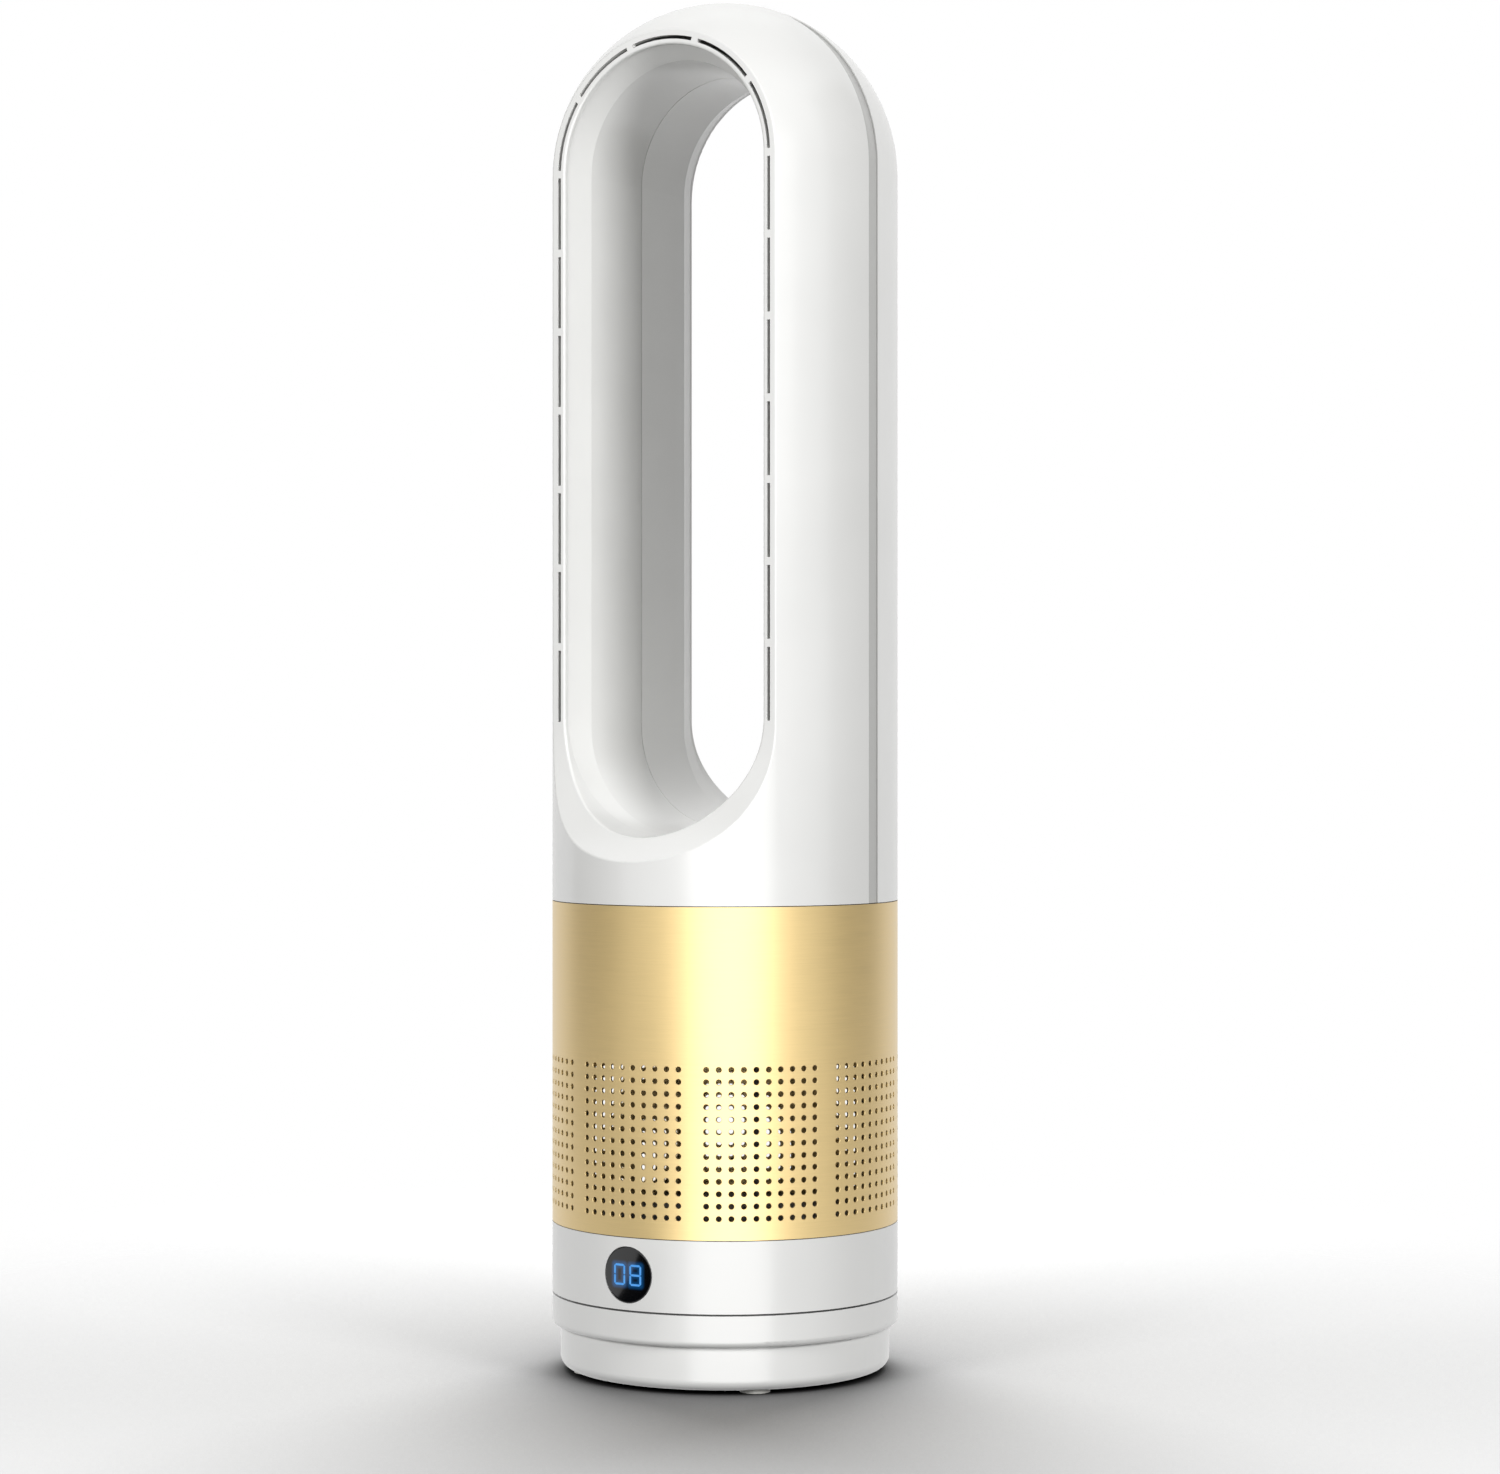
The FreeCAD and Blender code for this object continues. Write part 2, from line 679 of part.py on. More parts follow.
flange_inner = "body_radius - shell_wall - display_thickness"
lens_core = band_patch("lens_core", "body_radius", flange_inner, "display_radius")
lens_flange = band_patch(
    "lens_flange", "body_radius - shell_wall", flange_inner, "display_radius + display_flange")
keep("display_window", fuse("display_window", lens_core, lens_flange))
keep("digit_module", box(
    "digit_module", "digit_width", "digit_depth", "digit_height", "-digit_width / 2",
    "-%s - digit_depth" % board_front,
    "%s - digit_height / 2" % display_level))
keep("display_board", box(
    "display_board", "board_width", "board_thickness", "board_height", "-board_width / 2",
    "-%s" % board_front,
    "%s - board_height / 2" % display_level))

power_top = "(%s - standoff_height)" % band_top
power_plate = box(
    "power_plate", "power_board_length", "power_board_width", "board_thickness", "-power_board_length / 2",
    "-power_board_width / 2", "%s - board_thickness" % power_top)
capacitors = [
    cylinder(
        "capacitor_" + side, "capacitor_radius", "capacitor_height", "power_board_length / 4",
        sign + "(capacitor_radius + parts_gap)",
        "%s - board_thickness - capacitor_height" % power_top)
    for side, sign in (("left", "-"), ("right", ""))]
transformer = box(
    "transformer", "transformer_width", "transformer_width", "capacitor_height",
    "-power_board_length / 4 - transformer_width / 2",
    "-transformer_width / 2", "%s - board_thickness - capacitor_height" % power_top)
keep("power_board", fuse("power_board", power_plate, transformer, *capacitors))


# Air plate over the electronics and the perforated sleeve that stands on it
sleeve_inner = "(body_radius - sleeve_wall)"
plug_radius = "(body_radius - sleeve_wall - slip_fit)"
plate = turned("plate_blank", [
    ("lead_hole", band_top), ("body_radius - seam_recess", band_top),
    ("body_radius - seam_recess", sleeve_bottom),
    (plug_radius, sleeve_bottom), (plug_radius, plate_top), ("lead_hole", plate_top),
])
standoffs = []
for index, (sign_x, sign_y) in enumerate((("-", "-"), ("", "-"), ("-", ""), ("", ""))):
    standoffs.append(cylinder(
        "standoff_%d" % index, "standoff_radius", "standoff_height + plate_thickness / 2",
        sign_x + "(power_board_length / 2 - standoff_radius - parts_gap)",
        sign_y + "(power_board_width / 2 - standoff_radius - parts_gap)", power_top))
keep("air_plate", fuse("air_plate", plate, *standoffs))
keep(
    "tie_posts",
    ring_of_bars(
        "tie_posts", "tie_radius", "%s - %s" % (shroud_bottom, plate_top), plate_top, "tie_reach",
        quarter_angles))

zone_bottom = "(%s + perforation_rise - row_pitch)" % sleeve_bottom
zone_height = "((perforation_rows + 1) * row_pitch)"


def perforated_zone():
    """Groups of flat strips, each with one column of round holes, joined by plain strips of the cylinder."""
    outer = number("body_radius")
    inner = number(sleeve_inner)
    half = math.radians(number("column_angle")) / 2
    height = number(zone_height)
    ends = [(outer, -half), (outer, half), (inner, half), (inner, -half)]
    ring = [V(radius * math.sin(angle), -radius * math.cos(angle), 0) for radius, angle in ends]
    strip = Part.Face(Part.makePolygon(ring + ring[:1])).extrude(V(0, 0, height))
    holes = [
        Part.makeCylinder(
            number("perforation_radius"), 4 * number("sleeve_wall"),
            V(0, -outer - number("sleeve_wall"), level), V(0, 1, 0))
        for level in (number("row_pitch") * (row + 1) for row in range(count("perforation_rows")))]
    strip = strip.cut(Part.makeCompound(holes))
    pitch = 360 / count("perforation_groups")
    columns = count("perforation_columns")
    spare = pitch - columns * number("column_angle")
    wall = Part.Face(Part.makePolygon([
        V(inner, 0, 0), V(outer, 0, 0), V(outer, 0, height), V(inner, 0, height), V(inner, 0, 0)]))
    plain = wall.revolve(V(0, 0, 0), V(0, 0, 1), spare)
    pieces = []
    for index in range(count("perforation_groups")):
        for column in range(columns):
            turn = index * pitch + (column - (columns - 1) / 2) * number("column_angle")
            piece = strip.copy()
            piece.rotate(V(0, 0, 0), V(0, 0, 1), turn)
            pieces.append(piece)
        piece = plain.copy()
        piece.rotate(V(0, 0, 0), V(0, 0, 1), -90 + index * pitch + columns * number("column_angle") / 2)
        pieces.append(piece)
    return pieces[0].fuse(pieces[1:])


def tube(name, outer, inner, bottom, top):
    """A plain tube between two levels."""
    return turned(name, [(inner, bottom), (outer, bottom), (outer, top), (inner, top)])


perforations = shaped("perforations", perforated_zone())
tie(perforations, z=zone_bottom)
sleeve_foot = tube("sleeve_foot", "body_radius", sleeve_inner, sleeve_bottom, zone_bottom)
sleeve_crown = tube(
    "sleeve_crown", "body_radius", sleeve_inner, "%s + %s" % (zone_bottom, zone_height), sleeve_top)
keep("grille_sleeve", fuse("grille_sleeve", sleeve_foot, perforations, sleeve_crown))


# Fan stage: shroud, impeller, diffuser and the motor inside its hub
passage_radius = "(duct_radius - diffuser_wall - snug_fit)"
bell_radius = "(throat_radius + (mouth_radius - throat_radius) * bell_share)"
throat_low = "(%s + throat_rise)" % shroud_bottom
throat_high = "(%s + throat_rise + throat_length)" % shroud_bottom
duct_outer = "(duct_radius + shroud_wall)"
keep("fan_shroud", turned("fan_shroud", [
    ("mouth_radius", shroud_bottom), (plug_radius, shroud_bottom),
    (plug_radius, "%s + shroud_flange" % shroud_bottom),
    ("%s + 2 * shroud_wall" % bell_radius, "%s + shroud_flange" % shroud_bottom),
    ("throat_radius + shroud_wall", throat_low),
    ("throat_radius + shroud_wall", throat_high), (duct_outer, impeller_top),
    (duct_outer, "%s - shroud_flange" % shroud_top), (plug_radius, "%s - shroud_flange" % shroud_top),
    (plug_radius, shroud_top), ("duct_radius", shroud_top), ("duct_radius", diffuser_bottom),
    (passage_radius, diffuser_bottom), (passage_radius, impeller_top), ("throat_radius", throat_high),
    ("throat_radius", throat_low), (bell_radius, "%s + throat_rise * bell_share" % shroud_bottom),
]))

shaft_bore = "(shaft_radius + running_fit)"
hub_boss = "(shaft_radius + 2 * impeller_wall)"
impeller_hub = turned("impeller_hub", [
    (shaft_bore, impeller_bottom), ("impeller_nose", impeller_bottom), ("impeller_back", impeller_top),
    ("impeller_back - impeller_wall", impeller_top),
    ("impeller_nose - impeller_wall", "%s + 2 * impeller_wall" % impeller_bottom),
    (hub_boss, "%s + 2 * impeller_wall" % impeller_bottom),
    (hub_boss, "%s - impeller_height / 4" % impeller_top),
    (shaft_bore, "%s - impeller_height / 4" % impeller_top),
])


def swept_vane(bottom, top, inner, outer, thickness, sweep):
    """An upright plate that leans round the axis as it rises, steeper towards its upper end."""
    sections = []
    steps = 4
    ease = 0.35
    for step in range(steps + 1):
        share = step / steps
        level = bottom + (top - bottom) * share
        corners = [
            (inner, -thickness / 2), (outer, -thickness / 2), (outer, thickness / 2),
            (inner, thickness / 2)]
        ring = [V(across, side, level) for across, side in corners]
        wire = Part.makePolygon(ring + ring[:1])
        wire.rotate(V(0, 0, 0), V(0, 0, 1), sweep * (share - ease * share * share) / (1 - ease))
        sections.append(wire)
    return Part.makeLoft(sections, True, False)


def ring_of_vanes(vane, passage, copies):
    """One vane trimmed to its passage and repeated round the axis."""
    trimmed = vane.common(passage)
    vanes = []
    for index in range(copies):
        piece = trimmed.copy()
        piece.rotate(V(0, 0, 0), V(0, 0, 1), 360 * index / copies)
        vanes.append(piece)
    return Part.makeCompound(vanes)


def revolved(corners):
    """A full turn of an outline of (radius, height) expressions."""
    points = [V(number(across), 0, number(up)) for across, up in corners]
    return Part.Face(Part.makePolygon(points + points[:1])).revolve(V(0, 0, 0), V(0, 0, 1), 360)


blade_low = "(%s + blade_gap)" % throat_low
blade_passage = revolved([
    ("impeller_nose - impeller_wall / 2", impeller_bottom),
    ("impeller_back - impeller_wall / 2", impeller_top),
    ("%s - blade_gap" % passage_radius, impeller_top), ("throat_radius - blade_gap", throat_high),
    ("throat_radius - blade_gap", blade_low), ("impeller_nose", blade_low),
])
blade = swept_vane(
    number(blade_low), number(impeller_top), number(hub_boss), number("duct_radius"),
    number("blade_thickness"), number("blade_sweep"))
blades = shaped("impeller_blades", ring_of_vanes(blade, blade_passage, count("blade_count")))
keep("impeller", fuse("impeller", impeller_hub, blades))

hub_inner = "(impeller_back - diffuser_wall)"
diffuser_floor = "(%s + diffuser_wall)" % diffuser_bottom
diffuser_hub = turned("diffuser_hub", [
    ("bearing_radius", diffuser_bottom), ("impeller_back", diffuser_bottom),
    ("impeller_back", diffuser_top),
    (hub_inner, diffuser_top), (hub_inner, diffuser_floor), ("bearing_radius", diffuser_floor),
])
diffuser_ring = tube(
    "diffuser_ring", "duct_radius - snug_fit", passage_radius, diffuser_bottom, diffuser_top)
vane_passage = revolved([
    ("impeller_back - diffuser_wall / 2", "%s + vane_inset" % diffuser_bottom),
    ("%s + diffuser_wall / 2" % passage_radius, "%s + vane_inset" % diffuser_bottom),
    ("%s + diffuser_wall / 2" % passage_radius, "%s - vane_inset" % diffuser_top),
    ("impeller_back - diffuser_wall / 2", "%s - vane_inset" % diffuser_top),
])
vane = swept_vane(
    number(diffuser_bottom), number(diffuser_top), number("impeller_back - 2 * diffuser_wall"),
    number("duct_radius + 2 * diffuser_wall"), number("vane_thickness"),
    -number("vane_sweep"))
vanes = shaped("diffuser_vanes", ring_of_vanes(vane, vane_passage, count("vane_count")))
keep("diffuser", fuse("diffuser", diffuser_hub, diffuser_ring, vanes))

motor_seat = "(motor_radius + snug_fit)"
motor_bottom = "(%s + mount_lip)" % diffuser_floor
motor_top = "(%s + motor_height)" % motor_bottom
keep("motor_mount", turned("motor_mount", [
    ("motor_radius - mount_ledge", diffuser_floor), ("%s - snug_fit" % hub_inner, diffuser_floor),
    ("%s - snug_fit" % hub_inner, "%s + mount_height" % diffuser_floor),
    (motor_seat, "%s + mount_height" % diffuser_floor),
    (motor_seat, motor_bottom), ("motor_radius - mount_ledge", motor_bottom),
]))
bearing_seat = "(bearing_radius + snug_fit)"
bearing_boss = "(bearing_radius + snug_fit + motor_wall)"
keep("motor_can", turned("motor_can", [
    (bearing_seat, motor_bottom), ("motor_radius", motor_bottom), ("motor_radius", motor_top),
    (bearing_seat, motor_top),
    (bearing_seat, "%s - bearing_height" % motor_top), (bearing_boss, "%s - bearing_height" % motor_top),
    (bearing_boss, "%s - motor_wall" % motor_top),
    ("motor_radius - motor_wall", "%s - motor_wall" % motor_top),
    ("motor_radius - motor_wall", "%s + motor_wall" % motor_bottom),
    (bearing_boss, "%s + motor_wall" % motor_bottom),
    (bearing_boss, "%s + bearing_height" % motor_bottom),
    (bearing_seat, "%s + bearing_height" % motor_bottom),
]))
lower_bearing = tube(
    "lower_bearing", "bearing_radius", shaft_bore, motor_bottom, "%s + bearing_height" % motor_bottom)
upper_bearing = tube(
    "upper_bearing", "bearing_radius", shaft_bore, "%s - bearing_height" % motor_top, motor_top)
keep("motor_bearings", group("motor_bearings", lower_bearing, upper_bearing))

core_bottom = "((%s + %s) / 2 - rotor_height / 2)" % (motor_bottom, motor_top)
core_top = "((%s + %s) / 2 + rotor_height / 2)" % (motor_bottom, motor_top)
stator_outer = "(motor_radius - motor_wall - snug_fit)"
stator_inner = "(rotor_radius + air_gap)"
stator_ring = tube("stator_ring", stator_outer, stator_inner, core_bottom, core_top)
slot_span = "(%s - %s)" % (stator_outer, stator_inner)
slot_start = 0.15
slot_run = 0.6
slot_low = number("%s - overcut" % core_bottom)
slot_boxes = []
for index in range(count("stator_slots")):
    opening = Part.makeBox(
        number(slot_span) * slot_run, number("slot_opening"), number("rotor_height + 2 * overcut"),
        V(number(stator_inner) + number(slot_span) * slot_start, -number("slot_opening") / 2, slot_low))
    mouth = Part.makeBox(
        number(slot_span) * slot_run, number("slot_mouth"), number("rotor_height + 2 * overcut"),
        V(number("%s - overcut" % stator_inner), -number("slot_mouth") / 2, slot_low))
    slot = opening.fuse(mouth)
    slot.rotate(V(0, 0, 0), V(0, 0, 1), 360 * index / count("stator_slots"))
    slot_boxes.append(slot)
keep(
    "stator_core",
    cut("stator_core", stator_ring, shaped("stator_slot_shapes", Part.makeCompound(slot_boxes))))
keep("rotor_core", tube("rotor_core", "rotor_radius", shaft_bore, core_bottom, core_top))
shaft_end = "(%s - nut_height - shaft_tail)" % impeller_bottom
keep(
    "motor_shaft", cylinder("motor_shaft", "shaft_radius", "%s - %s" % (motor_top, shaft_end), z=shaft_end))
nut_blank = doc.addObject("Part::Prism", "nut_blank")
nut_blank.Polygon = 6
tie(
    nut_blank, Circumradius="nut_across / 2 / cos(30)", Height="nut_height",
    z="%s - nut_height" % impeller_bottom)
nut_bore = cylinder(
    "nut_bore", shaft_bore, "nut_height + 2 * overcut", z="%s - nut_height - overcut" % impeller_bottom)
keep("impeller_nut", cut("impeller_nut", nut_blank, nut_bore))
keep("motor_cap", turned("motor_cap", [
    ("0", "%s + cap_rise - diffuser_wall" % diffuser_top),
    ("motor_radius", "%s + cap_rise - diffuser_wall" % diffuser_top),
    (hub_inner, diffuser_top), ("impeller_back", diffuser_top),
    ("impeller_back", "%s + cap_lip" % diffuser_top),
    ("motor_radius + cap_lip", "%s + cap_rise" % diffuser_top), ("0", "%s + cap_rise" % diffuser_top),
]))


# Collar between the sleeve and the air loop
collar_top = "(%s + collar_height)" % head_bottom
collar_outer = "(body_radius - head_wall - slip_fit)"
boss_reach = "(body_radius - head_wall - head_boss_radius + head_boss_bite)"
collar = turned("collar_blank", [
    ("duct_radius", shroud_top), (plug_radius, shroud_top), (plug_radius, sleeve_top),
    ("body_radius - seam_recess", sleeve_top),
    ("body_radius - seam_recess", head_bottom), (collar_outer, head_bottom), (collar_outer, collar_top),
    ("%s - collar_wall" % collar_outer, collar_top),
])
collar_heads = ring_of_bars(
    "collar_heads", "screw_head_radius + slip_fit", "screw_head_height + slip_fit + overcut",
    "%s - overcut" % shroud_top, boss_reach, quarter_angles)
collar_holes = ring_of_bars(
    "collar_holes", "screw_radius + snug_fit", "%s - %s + 2 * overcut" % (collar_top, shroud_top),
    "%s - overcut" % shroud_top, boss_reach, quarter_angles)
keep("head_collar", cut("head_collar", collar, collar_heads, collar_holes))
keep("head_screws", ring_of_screws(
    "head_screws", boss_reach, quarter_angles, "%s + slip_fit" % shroud_top,
    "%s - %s - slip_fit - screw_head_height + head_screw_bite" % (collar_top, shroud_top)))


# Air loop: a capsule with a drafted tunnel, flat rims and a scooped lower lip
def capsule(name, radius, bottom):
    """An upright round bar with a domed top."""
    stem = cylinder(name + "_stem", radius, "%s - (%s)" % (loop_high, bottom), z=bottom)
    dome = doc.addObject("Part::Sphere", name + "_dome")
    dome.Angle1 = 0
    tie(dome, Radius=radius, z=loop_high)
    return fuse(name, stem, dome)


def stadium(name, y, radius, low, high):
    """An upright slot outline on a plane across the fan."""
    sketch = doc.addObject("Sketcher::SketchObject", name)
    sketch.Placement.Rotation = FreeCAD.Rotation(V(1, 0, 0), 90)
    tie(sketch, y=y)
    size, bottom, top = number(radius), number(low), number(high)
    circle_top = Part.Circle(V(0, top, 0), V(0, 0, 1), size)
    circle_low = Part.Circle(V(0, bottom, 0), V(0, 0, 1), size)
    sketch.addGeometry(Part.ArcOfCircle(circle_top, 0, math.pi))
    sketch.addGeometry(Part.LineSegment(V(-size, top, 0), V(-size, bottom, 0)))
    sketch.addGeometry(Part.ArcOfCircle(circle_low, math.pi, 2 * math.pi))
    sketch.addGeometry(Part.LineSegment(V(size, bottom, 0), V(size, top, 0)))
    for first, second in ((0, 1), (1, 2), (2, 3), (3, 0)):
        sketch.addConstraint(Sketcher.Constraint("Tangent", first, 2, second, 1))
    sketch.addConstraint(Sketcher.Constraint("Vertical", 1))
    for arc in (0, 2):
        sketch.addConstraint(Sketcher.Constraint("PointOnObject", arc, 3, -2))
    for kind, arc, text in (("DistanceY", 0, high), ("DistanceY", 2, low)):
        made = sketch.addConstraint(Sketcher.Constraint(kind, -1, 1, arc, 3, number(text)))
        sketch.setExpression("Constraints[%d]" % made, bound(text))
    made = sketch.addConstraint(Sketcher.Constraint("Radius", 0, size))
    sketch.setExpression("Constraints[%d]" % made, bound(radius))
    return sketch


def tunnel(name, grow):
    """The passage through the loop: narrowest at its middle, drafted both ways and flared at its mouths."""
    lifted = "%s + mouth_lift" % loop_low
    stations = [
        ("-far_offset", "far_radius", lifted), ("-mouth_offset", "mouth_inner_radius", lifted),
        ("-throat_offset", "loop_throat_radius", loop_low), ("0", "waist_radius", loop_low),
        ("throat_offset", "loop_throat_radius", loop_low), ("mouth_offset", "rear_inner_radius", lifted),
        ("far_offset", "rear_far_radius", lifted)]
    loft = doc.addObject("Part::Loft", name)
    loft.Sections = [
        stadium("%s_%d" % (name, index), y, "%s + %s" % (radius, grow), low, loop_high)
        for index, (y, radius, low) in enumerate(stations)]
    loft.Solid = True
    loft.Ruled = True
    return loft


def scoop(name, inset, side):
    """What is cut away in front of a flat rim: upright above, curving out to the body at its lower end."""
    body = doc.addObject("PartDesign::Body", name)
    sketch = body.newObject("Sketcher::SketchObject", name + "_outline")
    plane = next(item for item in body.Origin.OriginFeatures if item.Role == "YZ_Plane")
    sketch.AttachmentSupport = [(plane, "")]
    sketch.MapMode = "FlatFace"
    sign = "-" if side < 0 else ""
    face = "%s(rim_offset - %s)" % (sign, inset)
    centre = "%s(rim_offset + scoop_radius)" % sign
    top = "%s + 2 * body_radius" % loop_high
    face_at, centre_at, low_at, top_at = number(face), number(centre), number(loop_low), number(top)
    reach = abs(centre_at - face_at)
    circle = Part.Circle(V(centre_at, low_at, 0), V(0, 0, 1), reach)
    spans = (1.5 * math.pi, 2 * math.pi) if side < 0 else (math.pi, 1.5 * math.pi)
    sketch.addGeometry(Part.ArcOfCircle(circle, *spans))
    inner, outer = (2, 1) if side < 0 else (1, 2)
    sketch.addGeometry(Part.LineSegment(V(face_at, low_at, 0), V(face_at, top_at, 0)))
    sketch.addGeometry(Part.LineSegment(V(face_at, top_at, 0), V(centre_at, top_at, 0)))
    sketch.addGeometry(Part.LineSegment(V(centre_at, top_at, 0), V(centre_at, low_at - reach, 0)))
    links = ((0, inner, 1, 1), (1, 2, 2, 1), (2, 2, 3, 1), (3, 2, 0, outer))
    for first, first_end, second, second_end in links:
        sketch.addConstraint(Sketcher.Constraint("Coincident", first, first_end, second, second_end))
    sketch.addConstraint(Sketcher.Constraint("Vertical", 1))
    sketch.addConstraint(Sketcher.Constraint("Horizontal", 2))
    sketch.addConstraint(Sketcher.Constraint("Vertical", 3))
    ties = (
        ("DistanceX", 0, 3, centre, centre_at), ("DistanceY", 0, 3, loop_low, low_at),
        ("DistanceX", 1, 1, face, face_at),
        ("DistanceY", 1, 1, loop_low, low_at), ("DistanceY", 1, 2, top, top_at),
        ("DistanceX", 3, 2, centre, centre_at))
    for kind, item, end, text, place in ties:
        made = sketch.addConstraint(Sketcher.Constraint(kind, -1, 1, item, end, place))
        sketch.setExpression("Constraints[%d]" % made, bound(text))
    pad = body.newObject("PartDesign::Pad", name + "_pad")
    pad.Profile = sketch
    pad.SideType = "Symmetric"
    tie(pad, Length="4 * body_radius")
    doc.recompute()
    return body


loop_blank = cut(
    "loop_blank", capsule("loop_outside", "body_radius", head_bottom), tunnel("loop_tunnel", "0"),
    scoop("front_scoop", "0", -1), scoop("rear_scoop", "0", 1))


def on_rim(spot):
    """Whether a point lies on a flat rim or on the lip that it curves into, away from their joint."""
    out = abs(spot.y) - number("rim_offset")
    below = number(loop_low) - spot.z
    if below < 0:
        return abs(out) < 1e-3
    reach = number("scoop_radius")
    return below > 1e-3 and abs(math.hypot(reach - out, below) - reach) < 1e-3


def depth(spot):
    """How far a point lies under the outside of the capsule."""
    above = max(0, spot.z - number(loop_high))
    return number("body_radius") - math.hypot(spot.x, spot.y, above)


def edge_names(shape, chosen):
    """Names of the edges whose every sampled point is chosen."""
    names = []
    for index, edge in enumerate(shape.Edges, 1):
        span = edge.LastParameter - edge.FirstParameter
        samples = [edge.valueAt(edge.FirstParameter + span * share) for share in (0.1, 0.3, 0.5, 0.7, 0.9)]
        if all(chosen(spot) for spot in samples):
            names.append("Edge%d" % index)
    return names


rounded_loop = doc.addObject("PartDesign::Body", "rounded_loop")
rounded_loop.BaseFeature = loop_blank
doc.recompute()
loop_base = rounded_loop.Tip
rim_outside = rounded_loop.newObject("PartDesign::Fillet", "rim_outside")
rim_outside.Base = (
    loop_base, edge_names(loop_base.Shape, lambda spot: on_rim(spot) and depth(spot) < 1e-3))
tie(rim_outside, Radius="rim_edge")
doc.recompute()
rim_inside = rounded_loop.newObject("PartDesign::Fillet", "rim_inside")
rim_inside.Base = (rim_outside, edge_names(
    rim_outside.Shape, lambda spot: on_rim(spot) and depth(spot) > number("rim_edge")))
tie(rim_inside, Radius="rim_round")
doc.recompute()
loop_hollow = cut(
    "loop_hollow", capsule("loop_inside", "body_radius - head_wall", "%s - head_wall" % head_bottom),
    tunnel("loop_liner", "head_wall"), scoop("front_inset", "head_wall", -1),
    scoop("rear_inset", "head_wall", 1))
loop_shell = cut("loop_shell", rounded_loop, loop_hollow)


def slab(name, low, high, bottom):
    """Everything between two planes across the fan, from a level up."""
    return box(
        name, "4 * body_radius", "%s - (%s)" % (high, low),
        "%s + 2 * body_radius - %s" % (loop_high, bottom),
        "-2 * body_radius", low, bottom)


groove = cut(
    "parting_groove", slab("groove_slab", "-groove_half", "groove_half", "%s - overcut" % head_bottom),
    capsule("groove_floor", "body_radius - groove_depth", "%s - 2 * overcut" % head_bottom))
tongue_bottom = "(%s + tongue_gap)" % collar_top
tongue_core = capsule(
    "tongue_core", "body_radius - head_wall - tongue_wall", "%s - overcut" % tongue_bottom)
tongue_root = common("tongue_root", slab("tongue_root_slab", "0", "tongue_reach", tongue_bottom),
                     capsule("tongue_root_skin", "body_radius - head_wall / 2", tongue_bottom))
tongue_lip = common("tongue_lip", slab("tongue_lip_slab", "-tongue_reach", "0", tongue_bottom),
                    capsule("tongue_lip_skin", "body_radius - head_wall - snug_fit", tongue_bottom))
tongue = cut("tongue", fuse("tongue_blank", tongue_root, tongue_lip), tongue_core)


seam_line = common("seam_line", slab("seam_line_slab", "-seam_line_half", "seam_line_half", head_bottom),
                   tunnel("seam_tunnel", "seam_line_depth"))


def bosses(name, angles):
    """Screw bosses on the inner wall of a shell, over the collar."""
    return ring_of_bars(name, "head_boss_radius", "head_boss_height", collar_top, boss_reach, angles)


def pilots(name, angles):
    """Screw holes in the bosses."""
    return ring_of_bars(
        name, "screw_radius + snug_fit", "head_screw_bite + 2 * overcut", "%s - overcut" % collar_top,
        boss_reach, angles)


slot_outer = "(slot_radius + slot_width / 2)"
slot_inner = "(slot_radius - slot_width / 2)"
slot_depth = "(2 * (head_wall + overcut))"
slot_front = "(-rim_offset - overcut)"
slot_pitch = "((loop_straight - slot_end_rise + bridge_width / 2) / slots_per_side)"
slot_arch = cut(
    "slot_arch", cylinder("slot_arch_outer", slot_outer, slot_depth, "0", slot_front, loop_high, along="y"),
    cylinder("slot_arch_inner", slot_inner, slot_depth, "0", slot_front, loop_high, along="y"),
    box(
        "slot_arch_below", "4 * body_radius", "4 * body_radius", "2 * body_radius",
        "-2 * body_radius",
        "-2 * body_radius", "%s - 2 * body_radius" % loop_high))
slot_legs = [
    box("slot_leg_" + side, "slot_width", slot_depth, "loop_straight - slot_end_rise", start, slot_front,
        "%s + slot_end_rise" % loop_low)
    for side, start in (("left", "-" + slot_outer), ("right", slot_inner))]
bridges = []
for index in range(count("slots_per_side")):
    bridges.append(box(
        "bridge_%d" % index, "4 * body_radius", slot_depth, "bridge_width", "-2 * body_radius", slot_front,
        "%s - %d * %s - bridge_width / 2" % (loop_high, index, slot_pitch)))
for index in range(1, count("slots_on_arch")):
    spoke = doc.addObject("Part::Box", "spoke_%d" % index)
    lean = "(180 * %d / slots_on_arch - 90)" % index
    spoke.Placement.Rotation = FreeCAD.Rotation(V(0, 1, 0), number(lean))
    tie(spoke, Length="bridge_width", Width=slot_depth, Height="body_radius", y=slot_front,
        x="-bridge_width / 2 * cos(%s)" % lean, z="%s + bridge_width / 2 * sin(%s)" % (loop_high, lean))
    bridges.append(spoke)
slots = cut("air_slots", fuse("slot_path", slot_arch, *slot_legs), *bridges)

front_half = common(
    "front_half", loop_shell, slab("front_slab", "-2 * body_radius", "0", "%s - overcut" % head_bottom))
front_solid = fuse("front_solid", front_half, *bosses("front_bosses", ["225", "315"]).Links)
keep(
    "head_front_shell",
    cut("head_front_shell", front_solid, slots, groove, seam_line, pilots("front_pilots", ["225", "315"])))
rear_half = common(
    "rear_half", loop_shell, slab("rear_slab", "0", "2 * body_radius", "%s - overcut" % head_bottom))
rear_solid = fuse("rear_solid", rear_half, tongue, *bosses("rear_bosses", ["45", "135"]).Links)
keep(
    "head_rear_shell",
    cut("head_rear_shell", rear_solid, groove, seam_line, pilots("rear_pilots", ["45", "135"])))

doc.recompute()


